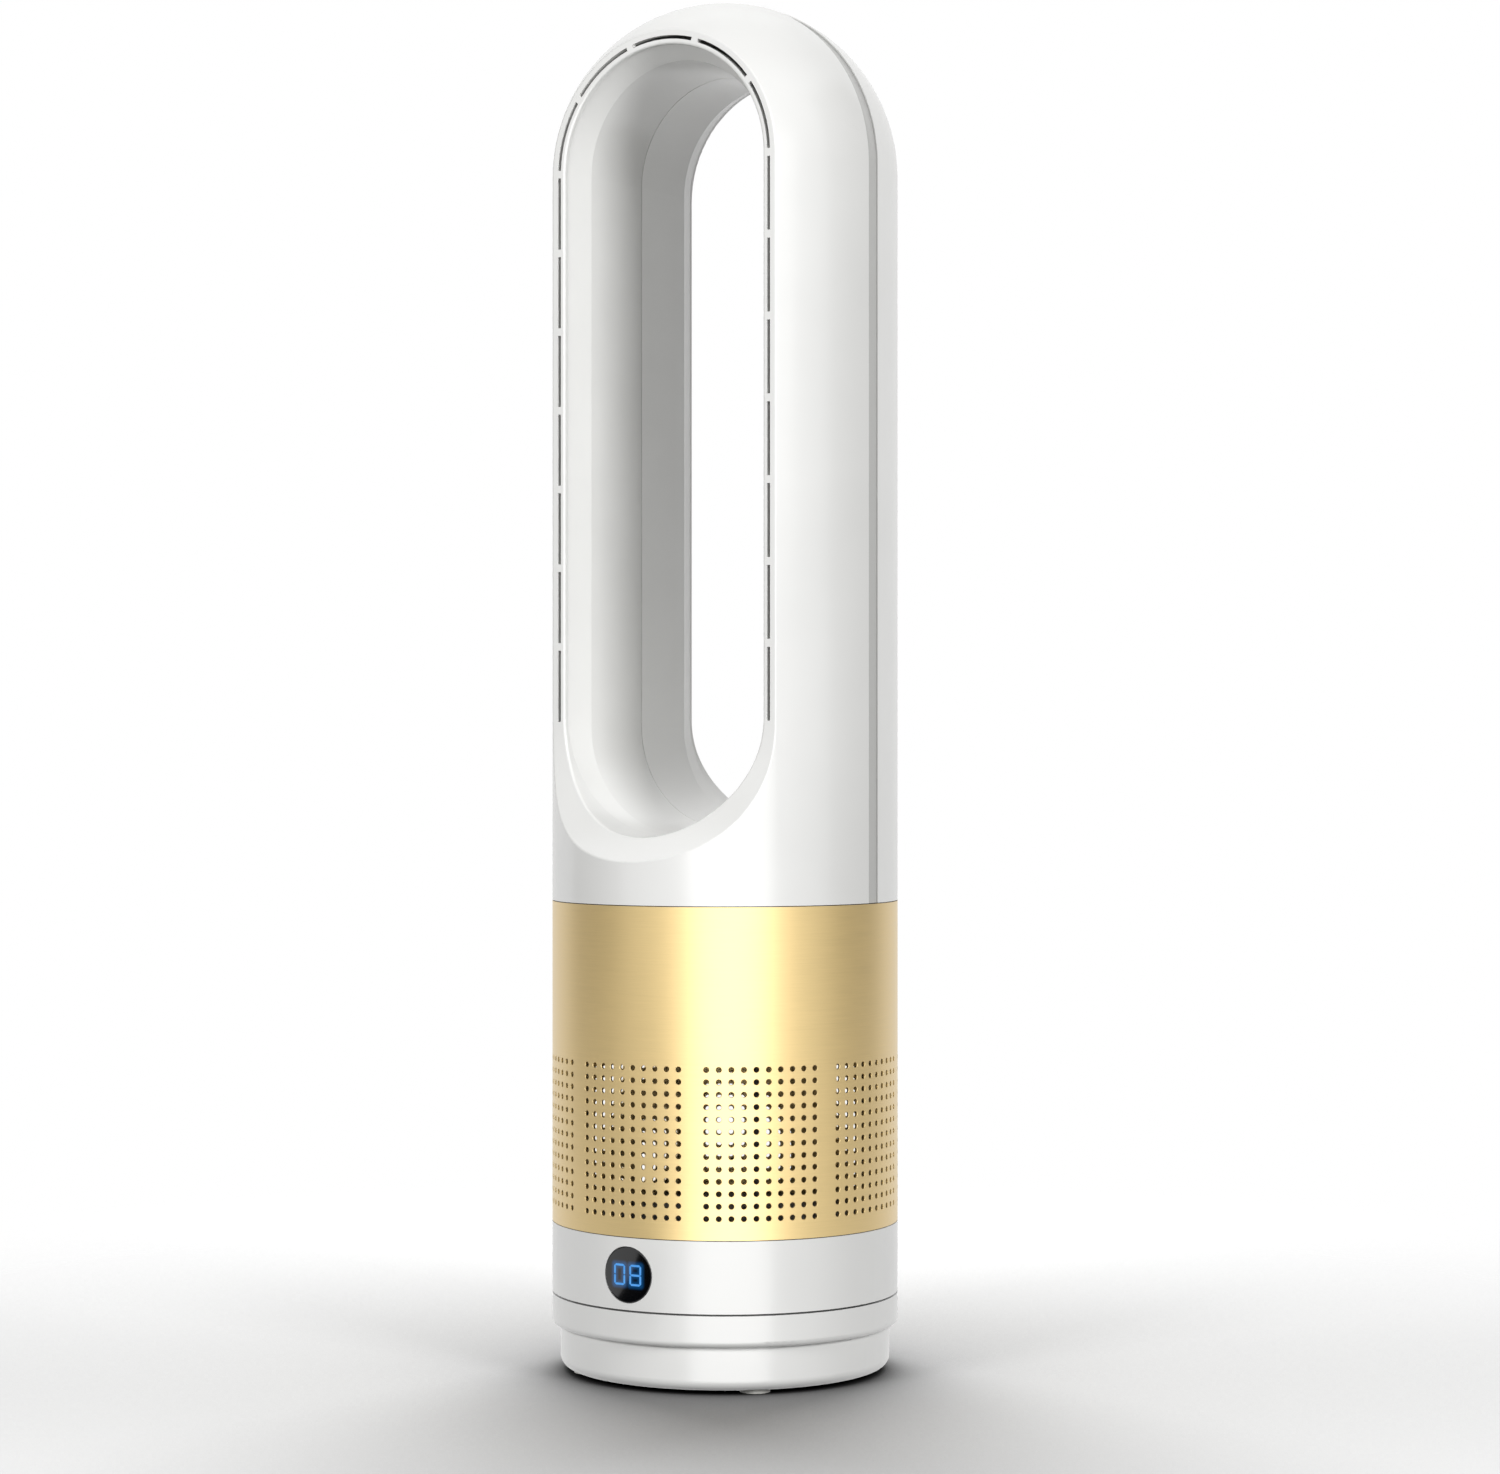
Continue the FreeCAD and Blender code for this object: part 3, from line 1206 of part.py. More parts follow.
# Check every object, then write each piece
faults = [item.Name for item in doc.Objects if "Invalid" in item.State or "Error" in item.State]
for name, item in PIECES.items():
    if item.Shape.isNull() or not item.Shape.isValid():
        faults.append(name)
if faults:
    raise RuntimeError("not built: " + ", ".join(faults))
os.makedirs("parts", exist_ok=True)
for name, item in PIECES.items():
    item.Shape.exportStep("parts/%s.step" % name)
    print(name, len(item.Shape.Solids), "solids", round(item.Shape.Volume), "mm3")
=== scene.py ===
# %% [markdown]
# # Bladeless tower fan
# The CAD frame comes first: every piece of the fan is already in place, in metres, with the front
# towards -Y. This notebook only adds the looks.

# %% Load the frame
import bmesh
import bpy
import json
import math
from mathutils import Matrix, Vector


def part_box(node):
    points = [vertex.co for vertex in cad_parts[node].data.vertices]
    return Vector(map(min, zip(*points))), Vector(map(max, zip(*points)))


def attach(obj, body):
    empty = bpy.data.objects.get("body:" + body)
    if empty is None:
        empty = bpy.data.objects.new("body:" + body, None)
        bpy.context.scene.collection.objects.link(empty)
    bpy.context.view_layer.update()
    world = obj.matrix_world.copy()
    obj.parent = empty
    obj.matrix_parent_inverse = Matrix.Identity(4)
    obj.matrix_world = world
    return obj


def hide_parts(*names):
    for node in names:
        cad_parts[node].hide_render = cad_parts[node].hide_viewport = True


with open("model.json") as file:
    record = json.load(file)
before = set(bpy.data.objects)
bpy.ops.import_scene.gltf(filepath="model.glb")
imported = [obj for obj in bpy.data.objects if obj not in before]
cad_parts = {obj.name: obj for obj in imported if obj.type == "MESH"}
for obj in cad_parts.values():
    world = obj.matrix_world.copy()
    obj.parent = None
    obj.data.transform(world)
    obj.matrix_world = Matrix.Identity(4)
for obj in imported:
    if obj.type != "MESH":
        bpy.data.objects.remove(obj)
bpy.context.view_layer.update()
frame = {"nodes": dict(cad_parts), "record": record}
nodes = frame["nodes"]

# %% [markdown]
# ## Small helpers
# Colours are picked as sRGB hex codes, but Cycles works in linear light, so one function converts
# them. A second one adds a shader or geometry node, sets its options and fills or links its inputs,
# by name or in order. A node given as an input stands for its first output, which keeps every node
# tree below short enough to read.

# %% Helpers
MM = 0.001
MATH = "ShaderNodeMath"


def linear(code):
    channels = [int(code[i:i + 2], 16) / 255 for i in (1, 3, 5)]
    curve = [c / 12.92 if c <= 0.04045 else ((c + 0.055) / 1.055) ** 2.4 for c in channels]
    return (*curve, 1.0)


def add(tree, kind, inputs=(), **options):
    node = tree.nodes.new(kind)
    for name, value in options.items():
        setattr(node, name, value)
    for name, value in inputs.items() if isinstance(inputs, dict) else enumerate(inputs):
        if isinstance(value, bpy.types.Node):
            value = value.outputs[0]
        if isinstance(value, bpy.types.NodeSocket):
            tree.links.new(value, node.inputs[name])
        else:
            node.inputs[name].default_value = value
    return node


def new_material(name):
    material = bpy.data.materials.new(name)
    material.use_nodes = True
    material.node_tree.nodes.clear()
    return material, material.node_tree


def new_object(name, mesh):
    item = bpy.data.objects.new(name, mesh)
    bpy.context.scene.collection.objects.link(item)
    return item


# %% [markdown]
# ## The camera
# The photograph was taken with a level camera a little below the middle of the fan, 33 degrees to the
# right of its front. Shifting the lens moves the picture without tilting the upright edges.

# %% Camera
VIEW_TURN = math.radians(33)
camera_data = bpy.data.cameras.new("photo_camera")
camera_data.lens = 85.1
camera_data.sensor_width = 36.0
camera_data.shift_x = 0.01667
camera_data.shift_y = 0.0108
camera_data.clip_start = 0.01
camera = new_object("photo_camera", camera_data)
camera.location = (0.9242, -1.4232, 0.2937)
camera.rotation_euler = (math.radians(90), 0, VIEW_TURN)
bpy.context.scene.camera = camera
bpy.context.scene.view_settings.view_transform = "Standard"
print("camera distance:", round(math.hypot(*camera.location[:2]), 3), "m")

# %% [markdown]
# ## Studio light
# The room is white to the camera and in reflections, and dim as a lamp, so that pale plastic keeps its
# shading. Two soft boxes stand about 40 degrees left and right of the camera: each lights one side of
# the body, and neither reaches deep into the air loop, so the tunnel darkens towards its back. A
# weaker one behind lifts the top of the arch. The large panel beside the camera is only there to be
# mirrored: it is the bright stripe down the metal sleeve and the white band. From behind, the rear
# shell would mirror it at a glancing angle and burn out, so the panel isn't linked to that shell.

# %% Studio light
ROOM_LIGHT = 0.18
ROOM_SEEN = 1.0
world = bpy.data.worlds.new("white_studio")
world.use_nodes = True
bpy.context.scene.world = world
tree = world.node_tree
tree.nodes.clear()
path = add(tree, "ShaderNodeLightPath")
seen = add(tree, MATH, [path.outputs["Is Camera Ray"], path.outputs["Is Glossy Ray"]],
           operation="MAXIMUM")
seen = add(tree, MATH, [seen, path.outputs["Is Transmission Ray"]], operation="MAXIMUM")
level = add(tree, "ShaderNodeMapRange", {"Value": seen, "To Min": ROOM_LIGHT, "To Max": ROOM_SEEN})
surround = add(tree, "ShaderNodeBackground", {"Color": (1, 1, 1, 1), "Strength": level})
add(tree, "ShaderNodeOutputWorld", {"Surface": surround})

TO_CAMERA = (math.sin(VIEW_TURN), -math.cos(VIEW_TURN))
TO_RIGHT = (math.cos(VIEW_TURN), math.sin(VIEW_TURN))


def beside_camera(right, towards, height):
    return (TO_RIGHT[0] * right + TO_CAMERA[0] * towards,
            TO_RIGHT[1] * right + TO_CAMERA[1] * towards, height)


def soft_box(name, place, target, width, height, watts, mirrored=False, lighting=True):
    lamp = bpy.data.lights.new(name, "AREA")
    lamp.shape = "RECTANGLE"
    lamp.size = width
    lamp.size_y = height
    lamp.energy = watts
    item = new_object(name, lamp)
    item.location = place
    aim = [t - p for t, p in zip(target, place)]
    item.rotation_euler = (math.atan2(math.hypot(aim[0], aim[1]), -aim[2]), 0,
                           math.atan2(aim[1], aim[0]) - math.pi / 2)
    item.visible_camera = False
    item.visible_glossy = mirrored
    item.visible_diffuse = lighting
    return item


MIDDLE = (0, 0, 0.33)
soft_box("right_lamp", beside_camera(1.23, 1.58, 0.95), MIDDLE, width=0.6, height=0.8, watts=27.0)
soft_box("left_lamp", beside_camera(-1.34, 1.49, 0.95), MIDDLE, width=0.6, height=0.8, watts=24.5)
soft_box("back_lamp", beside_camera(0.0, -1.0, 1.9), MIDDLE, width=0.8, height=0.6, watts=16.0)
panel = soft_box("mirrored_panel", beside_camera(0.08, 1.5, 0.4), MIDDLE, width=1.55, height=2.4,
                 watts=25.0, mirrored=True, lighting=False)
without_panel = bpy.data.collections.new("without_panel")
without_panel.objects.link(nodes["head_rear_shell"])
without_panel.collection_objects[0].light_linking.link_state = "EXCLUDE"
panel.light_linking.receiver_collection = without_panel

# %% [markdown]
# ## Floor and cards
# The floor is a pale disc that fades into the white room, so only the shadow under the fan is left of
# it at the edge of the picture. An ambient occlusion node darkens it close to the foot, and a wide lamp
# far behind, linked to the floor alone, draws the shadow out in front without brightening the fan. A
# metal sleeve shows its roundness only when it has something darker to reflect, so two grey cards stand
# left and right of the fan, and a black card lies on the floor where the display would mirror it.

# %% Floor
FLOOR_HALF = 2.0
FADE_START = 0.25
FADE_END = 0.75
SHADE_REACH = 1.2
SHADE_POWER = 1.35
material, tree = new_material("pale_studio_floor")
place = add(tree, "ShaderNodeTexCoord").outputs["Object"]
distance = add(tree, "ShaderNodeVectorMath", [place], operation="LENGTH").outputs["Value"]
fade = add(tree, "ShaderNodeMapRange", {"Value": distance, "From Min": FADE_START,
                                        "From Max": FADE_END}, interpolation_type="SMOOTHSTEP")
open_share = add(tree, "ShaderNodeAmbientOcclusion", {"Distance": SHADE_REACH}).outputs["AO"]
deep = add(tree, MATH, [open_share, SHADE_POWER], operation="POWER")
shade = add(tree, "ShaderNodeValToRGB", [deep])
shade.color_ramp.elements[0].color = linear("#000000")
shade.color_ramp.elements[1].color = linear("#C0C0C0")
pale = add(tree, "ShaderNodeBsdfDiffuse", [shade])
dull = add(tree, "ShaderNodeBsdfDiffuse", [linear("#404040")])
bounced = add(tree, "ShaderNodeLightPath").outputs["Is Diffuse Ray"]
paint = add(tree, "ShaderNodeMixShader", [bounced, pale, dull])
clear = add(tree, "ShaderNodeBsdfTransparent")
shown = add(tree, "ShaderNodeMixShader", [fade, paint, clear])
add(tree, "ShaderNodeOutputMaterial", {"Surface": shown})


def stage_sheet(name, corners, material):
    sheet = bpy.data.meshes.new(name)
    sheet.from_pydata(corners, [], [(0, 1, 2, 3)])
    sheet.materials.append(material)
    item = new_object(name, sheet)
    return item


floor = stage_sheet("studio_floor", [
    (-FLOOR_HALF, -FLOOR_HALF, 0), (FLOOR_HALF, -FLOOR_HALF, 0), (FLOOR_HALF, FLOOR_HALF, 0),
    (-FLOOR_HALF, FLOOR_HALF, 0)], material)
floor.visible_glossy = False
floor_only = bpy.data.collections.new("floor_only")
floor_only.objects.link(floor)
shadow_lamp = soft_box("shadow_lamp", beside_camera(0.0, -2.4, 2.2), (0, 0, 0), width=3.6,
                       height=1.0, watts=235.0)
shadow_lamp.light_linking.receiver_collection = floor_only

# %% Cards
CARD_LOW = 0.002
CARD_HIGH = 1.4
CARD_ASIDE = 0.9
CARD_FRONT = 0.35
CARD_BACK = -0.45
MIRRORED_X = (-0.188, -0.02)
MIRRORED_Y = (-0.20, -0.62)


def card_paint(name, code):
    material, tree = new_material(name)
    light = add(tree, "ShaderNodeEmission", [linear(code)])
    add(tree, "ShaderNodeOutputMaterial", {"Surface": light})
    return material


grey_card = card_paint("grey_card", "#B0AFAC")
black_card = card_paint("black_card", "#101010")


def card(name, aside, material):
    front, back = (aside, CARD_FRONT), (aside, CARD_BACK)
    sheet = stage_sheet(name, [beside_camera(*front, CARD_LOW), beside_camera(*back, CARD_LOW),
                               beside_camera(*back, CARD_HIGH), beside_camera(*front, CARD_HIGH)],
                        material)
    sheet.visible_camera = False
    sheet.visible_diffuse = False


card("left_card", -CARD_ASIDE, grey_card)
card("right_card", CARD_ASIDE, grey_card)
flat_card = stage_sheet("floor_card", [
    (MIRRORED_X[0], MIRRORED_Y[0], CARD_LOW), (MIRRORED_X[1], MIRRORED_Y[0], CARD_LOW),
    (MIRRORED_X[1], MIRRORED_Y[1], CARD_LOW), (MIRRORED_X[0], MIRRORED_Y[1], CARD_LOW)], black_card)
flat_card.visible_camera = False
flat_card.visible_diffuse = False
flat_card.visible_shadow = False

# %% [markdown]
# ## Plastics
# Each surface is a small node tree named for what the piece is made of and how it got its surface.
# Nothing is painted from a picture. Melted plastic cools unevenly, so a moulding has broad, very faint
# clouds of tone, and the mould leaves its own fine grain in the skin. Both are noise in object
# coordinates, and its scale is one over the size of a cloud or a grain. The real grain is about 0.1 mm,
# too fine for the picture, so it is drawn ten times as coarse.

# %% Moulded plastics
CLOUD = 55 * MM
SKIN_GRAIN = 1.1 * MM
SKIN_RELIEF = 0.2 * MM


def moulded_plastic(name, colour, shade, roughness, relief, gloss=1.5, painted_shade_mask=None,
                    painted_shade_colour=None):
    material, tree = new_material(name)
    place = add(tree, "ShaderNodeTexCoord").outputs["Object"]
    cloud = add(tree, "ShaderNodeTexNoise", {"Vector": place, "Scale": 1 / CLOUD, "Detail": 2.0})
    tint = add(tree, "ShaderNodeValToRGB", {"Fac": cloud.outputs["Fac"]})
    tint.color_ramp.elements[0].position = 0.3
    tint.color_ramp.elements[0].color = linear(shade)
    tint.color_ramp.elements[1].position = 0.7
    tint.color_ramp.elements[1].color = linear(colour)
    paint = tint.outputs["Color"]
    # The optional mask mixes a darker colour into the paint: painted shade.
    if painted_shade_mask:
        paint = add(tree, "ShaderNodeMix", {0: painted_shade_mask(tree, place), 6: paint, 7: linear(painted_shade_colour)},
                    data_type="RGBA").outputs[2]
    fine = add(tree, "ShaderNodeTexNoise", {"Vector": place, "Scale": 1 / SKIN_GRAIN, "Detail": 3.0})
    rough = add(tree, "ShaderNodeMapRange", {"Value": fine.outputs["Fac"],
                                             "To Min": roughness * 0.85, "To Max": roughness * 1.15})
    skin = add(tree, "ShaderNodeBump", {"Height": fine.outputs["Fac"], "Strength": relief,
                                        "Distance": SKIN_RELIEF})
    body = add(tree, "ShaderNodeBsdfPrincipled", {"Base Color": paint, "Roughness": rough,
                                                  "Normal": skin, "IOR": gloss})
    add(tree, "ShaderNodeOutputMaterial", {"Surface": body})
    return material


# Matt black ABS swallows light, so only its edges show inside the housing.
dark_plastic = moulded_plastic("matt_moulded_black_abs", "#242426", "#1C1C1E", 0.5, 0.15)
# Matt grey ABS stays quiet behind the holes of the sleeve.
grey_plastic = moulded_plastic("matt_moulded_grey_abs", "#4A4B4D", "#424345", 0.5, 0.12)
# Natural acetal is creamy and slightly waxy.
slide_plastic = moulded_plastic("turned_natural_acetal", "#E6E2D6", "#DEDACC", 0.38, 0.05)
# Pale silicone is dull and soft, and catches light at the edge of a pad.
rubber = moulded_plastic("pressed_pale_silicone_rubber", "#C6C5C0", "#BCBBB6", 0.6, 0.3)
# Solder mask is a thin green lacquer over glass cloth.
board_green = moulded_plastic("solder_masked_circuit_board", "#1F5A38", "#174A2D", 0.42, 0.1)
print("plastics:", dark_plastic.name, grey_plastic.name, slide_plastic.name, rubber.name)

# %% [markdown]
# The shell is polished white ABS, which mirrors the room softly. On the head shells the floor of the
# parting groove is painted a greyer white as painted shade, and the chamfered joint between the band
# and the ring below it gets a thin dark grey line of painted shade. Both are masks: Math nodes compare
# a point's place on the fan with where the groove or the joint is.

# %% White shell
BODY_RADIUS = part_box("control_band")[1].x
ARCH_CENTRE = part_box("head_front_shell")[1].z - BODY_RADIUS
RING_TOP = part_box("control_band")[0].z
GROOVE_HALF = 4.15 * MM
GROOVE_LEVEL = BODY_RADIUS - 1.1 * MM
GROOVE_REACH = 0.7 * MM
JOINT_REACH = 0.45 * MM


def near_value(tree, value, middle, reach):
    away = add(tree, MATH, [value, middle], operation="SUBTRACT")
    away = add(tree, MATH, [away], operation="ABSOLUTE")
    return add(tree, MATH, [away, reach], operation="LESS_THAN")


# Mask of the groove floor, where shade is painted into the colour.
def groove_shade_mask(tree, place):
    spot = add(tree, "ShaderNodeSeparateXYZ", [place]).outputs
    rise = add(tree, MATH, [spot["Z"], ARCH_CENTRE], operation="SUBTRACT")
    rise = add(tree, MATH, [rise, 0.0], operation="MAXIMUM")
    arm = add(tree, "ShaderNodeCombineXYZ", [spot["X"], spot["Y"], rise])
    radius = add(tree, "ShaderNodeVectorMath", [arm], operation="LENGTH").outputs["Value"]
    sunk = near_value(tree, radius, GROOVE_LEVEL, GROOVE_REACH)
    inside = near_value(tree, spot["Y"], 0.0, GROOVE_HALF)
    return add(tree, MATH, [sunk, inside], operation="MULTIPLY")


# Mask of the band-to-ring joint, where a thin line of shade is painted into the colour.
def joint_shade_mask(tree, place):
    height = add(tree, "ShaderNodeSeparateXYZ", [place]).outputs["Z"]
    return near_value(tree, height, RING_TOP, JOINT_REACH)


# Polished white ABS mirrors the room softly over a plain white body.
SHELL_WHITE = ("#F1F1EF", "#EDEDEB", 0.24, 0.02, 1.8)
white_abs = moulded_plastic("polished_moulded_white_abs", *SHELL_WHITE)
# The groove floor is painted a greyer white: painted shade.
head_abs = moulded_plastic("polished_white_abs_with_painted_groove_shade", *SHELL_WHITE, groove_shade_mask, "#C6C6C4")
# The joint is painted a thin dark grey line: painted shade.
band_abs = moulded_plastic("polished_white_abs_with_painted_joint_shade", *SHELL_WHITE, joint_shade_mask, "#4C4C4B")
print("arch centre:", ARCH_CENTRE, "joint at:", RING_TOP)

# %% [markdown]
# ## Metals
# The sleeve is aluminium, turned to a fine grain that runs round it, anodised champagne and sealed with
# a clear lacquer. The grain is noise squeezed to the width of a tool mark, and the same noise varies
# the roughness. The lacquer reflects white over the gold, so the stripe of light is paler than the
# metal. Its IOR is set above a real lacquer's 1.5, because that gave the sheen of the photograph. Real
# tool marks are about 0.1 mm wide and are drawn four times as wide or wider, so that they show.

# %% Metals
LACQUER_IOR = 2.4
LACQUER_ROUGHNESS = 0.4


def grained_metal(name, colour, shade, roughness, grain, lacquer=0.0):
    material, tree = new_material(name)
    place = add(tree, "ShaderNodeTexCoord").outputs["Object"]
    squeezed = add(tree, "ShaderNodeMapping", {"Vector": place, "Scale": [1 / size for size in grain]})
    marks = add(tree, "ShaderNodeTexNoise", {"Vector": squeezed, "Scale": 1.0, "Detail": 4.0})
    tint = add(tree, "ShaderNodeValToRGB", {"Fac": marks.outputs["Fac"]})
    tint.color_ramp.elements[0].position = 0.25
    tint.color_ramp.elements[0].color = linear(shade)
    tint.color_ramp.elements[1].position = 0.75
    tint.color_ramp.elements[1].color = linear(colour)
    rough = add(tree, "ShaderNodeMapRange", {"Value": marks.outputs["Fac"],
                                             "To Min": roughness * 0.8, "To Max": roughness * 1.2})
    body = add(tree, "ShaderNodeBsdfPrincipled", {
        "Base Color": tint.outputs["Color"], "Metallic": 1.0, "Roughness": rough,
        "Coat Weight": lacquer, "Coat IOR": LACQUER_IOR, "Coat Roughness": LACQUER_ROUGHNESS})
    add(tree, "ShaderNodeOutputMaterial", {"Surface": body})
    return material


# Lacquered champagne aluminium has a broad soft sheen with deeper gold beside it.
champagne = grained_metal("lacquered_champagne_anodised_aluminium", "#D8BA70", "#D0B268", 0.44,
                          (17 * MM, 17 * MM, 0.4 * MM), lacquer=0.8)
# Turned steel is bright and shows rings of tool marks.
steel = grained_metal("turned_bright_steel", "#C9CACC", "#B4B6B9", 0.28, (17 * MM, 17 * MM, 1.4 * MM))
# Zinc plating on pressed sheet is a duller grey with streaks.
zinc = grained_metal("zinc_plated_pressed_steel", "#BFC3C4", "#A8ADAF", 0.4, (2 * MM, 2 * MM, 17 * MM))
print("metals:", champagne.name, steel.name, zinc.name)

# %% [markdown]
# ## Display
# The display is a clear black lens. Polished acrylic reflects a little at every angle and more at the
# edge, so a low roughness on a nearly black base is enough, with smears about 8 mm wide, as a touched
# window has. Light from the figures spreads in the lens, so it glows a dark blue near them: the lens
# will carry its distance from the nearest figure as a number on each of its points, and the shader
# turns that number into light.

# %% Display lens and figures
SMEAR = 8 * MM
GLOW_FULL = 0.4 * MM
GLOW_END = 2.6 * MM
# Polished acrylic looks deep and black, with a clear mirrored room on it.
black_lens, tree = new_material("polished_black_acrylic_lens")
place = add(tree, "ShaderNodeTexCoord").outputs["Object"]
smear = add(tree, "ShaderNodeTexNoise", {"Vector": place, "Scale": 1 / SMEAR, "Detail": 2.0})
rough = add(tree, "ShaderNodeMapRange", {"Value": smear.outputs["Fac"], "To Min": 0.05, "To Max": 0.1})
near = add(tree, "ShaderNodeAttribute", attribute_name="figure_distance").outputs["Fac"]
spread = add(tree, "ShaderNodeMapRange", {"Value": near, "From Min": GLOW_FULL, "From Max": GLOW_END,
                                          "To Min": 1.0, "To Max": 0.0},
             interpolation_type="SMOOTHSTEP")
body = add(tree, "ShaderNodeBsdfPrincipled", {
    "Base Color": linear("#08090B"), "Roughness": rough, "Coat Weight": 0.3, "Coat Roughness": 0.03,
    "Emission Color": linear("#0A4170"), "Emission Strength": spread})
add(tree, "ShaderNodeOutputMaterial", {"Surface": body})

LIGHT_PATCH = 2.5 * MM
# Lit LED segments are an even, slightly patchy blue.
lit_blue, tree = new_material("lit_blue_led_figures")
place = add(tree, "ShaderNodeTexCoord").outputs["Object"]
patch = add(tree, "ShaderNodeTexNoise", {"Vector": place, "Scale": 1 / LIGHT_PATCH, "Detail": 1.0})
tint = add(tree, "ShaderNodeValToRGB", {"Fac": patch.outputs["Fac"]})
tint.color_ramp.elements[0].color = linear("#3F8FE4")
tint.color_ramp.elements[1].color = linear("#6CB2F4")
light = add(tree, "ShaderNodeEmission", {"Color": tint.outputs["Color"], "Strength": 1.0})
add(tree, "ShaderNodeOutputMaterial", {"Surface": light})
print("display:", black_lens.name, lit_blue.name)

# %% [markdown]
# ## Dressing the frame
# The record gives each piece of the frame a material slot, such as steel. One table gives each slot its
# finish, and a second one the pieces whose finish has painted shade masked into a groove or a joint.

# %% Dress the frame pieces
FINISH = {
    "white_abs": white_abs, "champagne_metal": champagne, "black_lens": black_lens,
    "dark_plastic": dark_plastic, "grey_plastic": grey_plastic, "slide_plastic": slide_plastic,
    "circuit_board": board_green, "steel": steel, "zinc_steel": zinc, "rubber": rubber,
}
# These pieces get a finish with painted shade in the groove or the joint.
FINISH_WITH_PAINTED_SHADE = {"head_front_shell": head_abs, "head_rear_shell": head_abs, "control_band": band_abs,
              "turntable": band_abs}
for part in frame["record"]["subparts"]:
    piece = nodes[part["node"]]
    piece.data.materials.clear()
    piece.data.materials.append(FINISH_WITH_PAINTED_SHADE.get(part["node"], FINISH[part["material_slot"]]))
print("finishes:", sorted(FINISH))

# %% [markdown]
# ## The perforated sleeve
# A punched sheet is one small tile, a square of metal with a round hole, set down again and again.
# Geometry Nodes is made for that: the tile is placed on a grid of points, plain strips fill the rest,
# and the flat sheet is then rolled round the body. Bending a flat pattern is far simpler than cutting
# a thousand holes into a tube, and one number changes the whole pattern.

# %% Sleeve sizes
sleeve_low, sleeve_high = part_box("grille_sleeve")
SLEEVE_RADIUS = sleeve_high.x
SLEEVE_WALL = 1.2 * MM
HOLE_RADIUS = 1.3 * MM
HOLE_BEVEL = 0.15 * MM
HOLE_SIDES = 16
ROWS = 13
COLUMNS = 10
GROUPS = 8
ROW_PITCH = 5.66 * MM
COLUMN_PITCH = math.radians(4) * SLEEVE_RADIUS
FIRST_ROW = 9.9 * MM
SHEET_STEP = math.radians(1) * SLEEVE_RADIUS
print("sleeve radius", SLEEVE_RADIUS, "from", sleeve_low.z, "to", sleeve_high.z)

# %% [markdown]
# The tile is built lying flat: X runs along the sheet, Y goes into the metal and Z is up. Five rings
# of points make it: the square, the bevelled rim of the hole in two rings, the hole's wall, and the
# square on the back.

# %% Punched tile


def ring(radius, depth):
    turns = [2 * math.pi * k / HOLE_SIDES for k in range(HOLE_SIDES)]
    return [(radius * math.cos(t), depth, radius * math.sin(t)) for t in turns]


def square(depth):
    points = []
    for t in (2 * math.pi * k / HOLE_SIDES for k in range(HOLE_SIDES)):
        reach = max(abs(math.cos(t)), abs(math.sin(t)))
        across = [math.cos(t) / reach, math.sin(t) / reach]
        even = [math.copysign(round(abs(a) * 2 + 0.1) / 2, a) if abs(a) > 0.01 else 0 for a in across]
        points.append((even[0] * COLUMN_PITCH / 2, depth, even[1] * ROW_PITCH / 2))
    return points


rings = [square(0), ring(HOLE_RADIUS + HOLE_BEVEL, 0), ring(HOLE_RADIUS, HOLE_BEVEL),
         ring(HOLE_RADIUS, SLEEVE_WALL), square(SLEEVE_WALL)]
points = [point for one in rings for point in one]
faces = []
for band in range(len(rings) - 1):
    for k in range(HOLE_SIDES):
        after = (k + 1) % HOLE_SIDES
        faces.append((band * HOLE_SIDES + k, band * HOLE_SIDES + after,
                      (band + 1) * HOLE_SIDES + after, (band + 1) * HOLE_SIDES + k))
mesh = bpy.data.meshes.new("punched_tile")
mesh.from_pydata(points, [], faces)
tile = new_object("punched_tile", mesh)
print("tile faces:", len(faces))

# %% [markdown]
# A node tree is a recipe, so its sizes are inputs with names, and sums are Math nodes. The last step of
# the tree rolls the sheet: the distance along it becomes an angle, and the depth is taken off the
# radius. The recipe is run once and its result kept as a plain mesh, because that is what the other
# tools can use.

# %% Node tree helpers


def new_tree(name, inputs):
    tree = bpy.data.node_groups.new(name, "GeometryNodeTree")
    tree.interface.new_socket("Geometry", in_out="OUTPUT", socket_type="NodeSocketGeometry")
    names = {}
    for label, kind in inputs.items():
        socket = tree.interface.new_socket(label, in_out="INPUT", socket_type="NodeSocket" + kind)
        names[label] = socket.identifier
    return tree, names, add(tree, "NodeGroupInput").outputs


def rolled(tree, sheet, radius):
    flat = add(tree, "ShaderNodeSeparateXYZ", [add(tree, "GeometryNodeInputPosition")]).outputs
    angle = add(tree, MATH, [flat["X"], radius], operation="DIVIDE")
    reach = add(tree, MATH, [radius, flat["Y"]], operation="SUBTRACT")
    across = add(tree, MATH, [reach, add(tree, MATH, [angle], operation="SINE")], operation="MULTIPLY")
    front = add(tree, MATH, [reach, add(tree, MATH, [angle], operation="COSINE")], operation="MULTIPLY")
    front = add(tree, MATH, [front, -1.0], operation="MULTIPLY")
    spot = add(tree, "ShaderNodeCombineXYZ", [across, front, flat["Z"]])
    return add(tree, "GeometryNodeSetPosition", {"Geometry": sheet, "Position": spot})


def finished(tree, sheet, material):
    whole = add(tree, "GeometryNodeRealizeInstances", [sheet])
    painted = add(tree, "GeometryNodeSetMaterial", {"Geometry": whole, "Material": material})
    add(tree, "NodeGroupOutput", [painted])


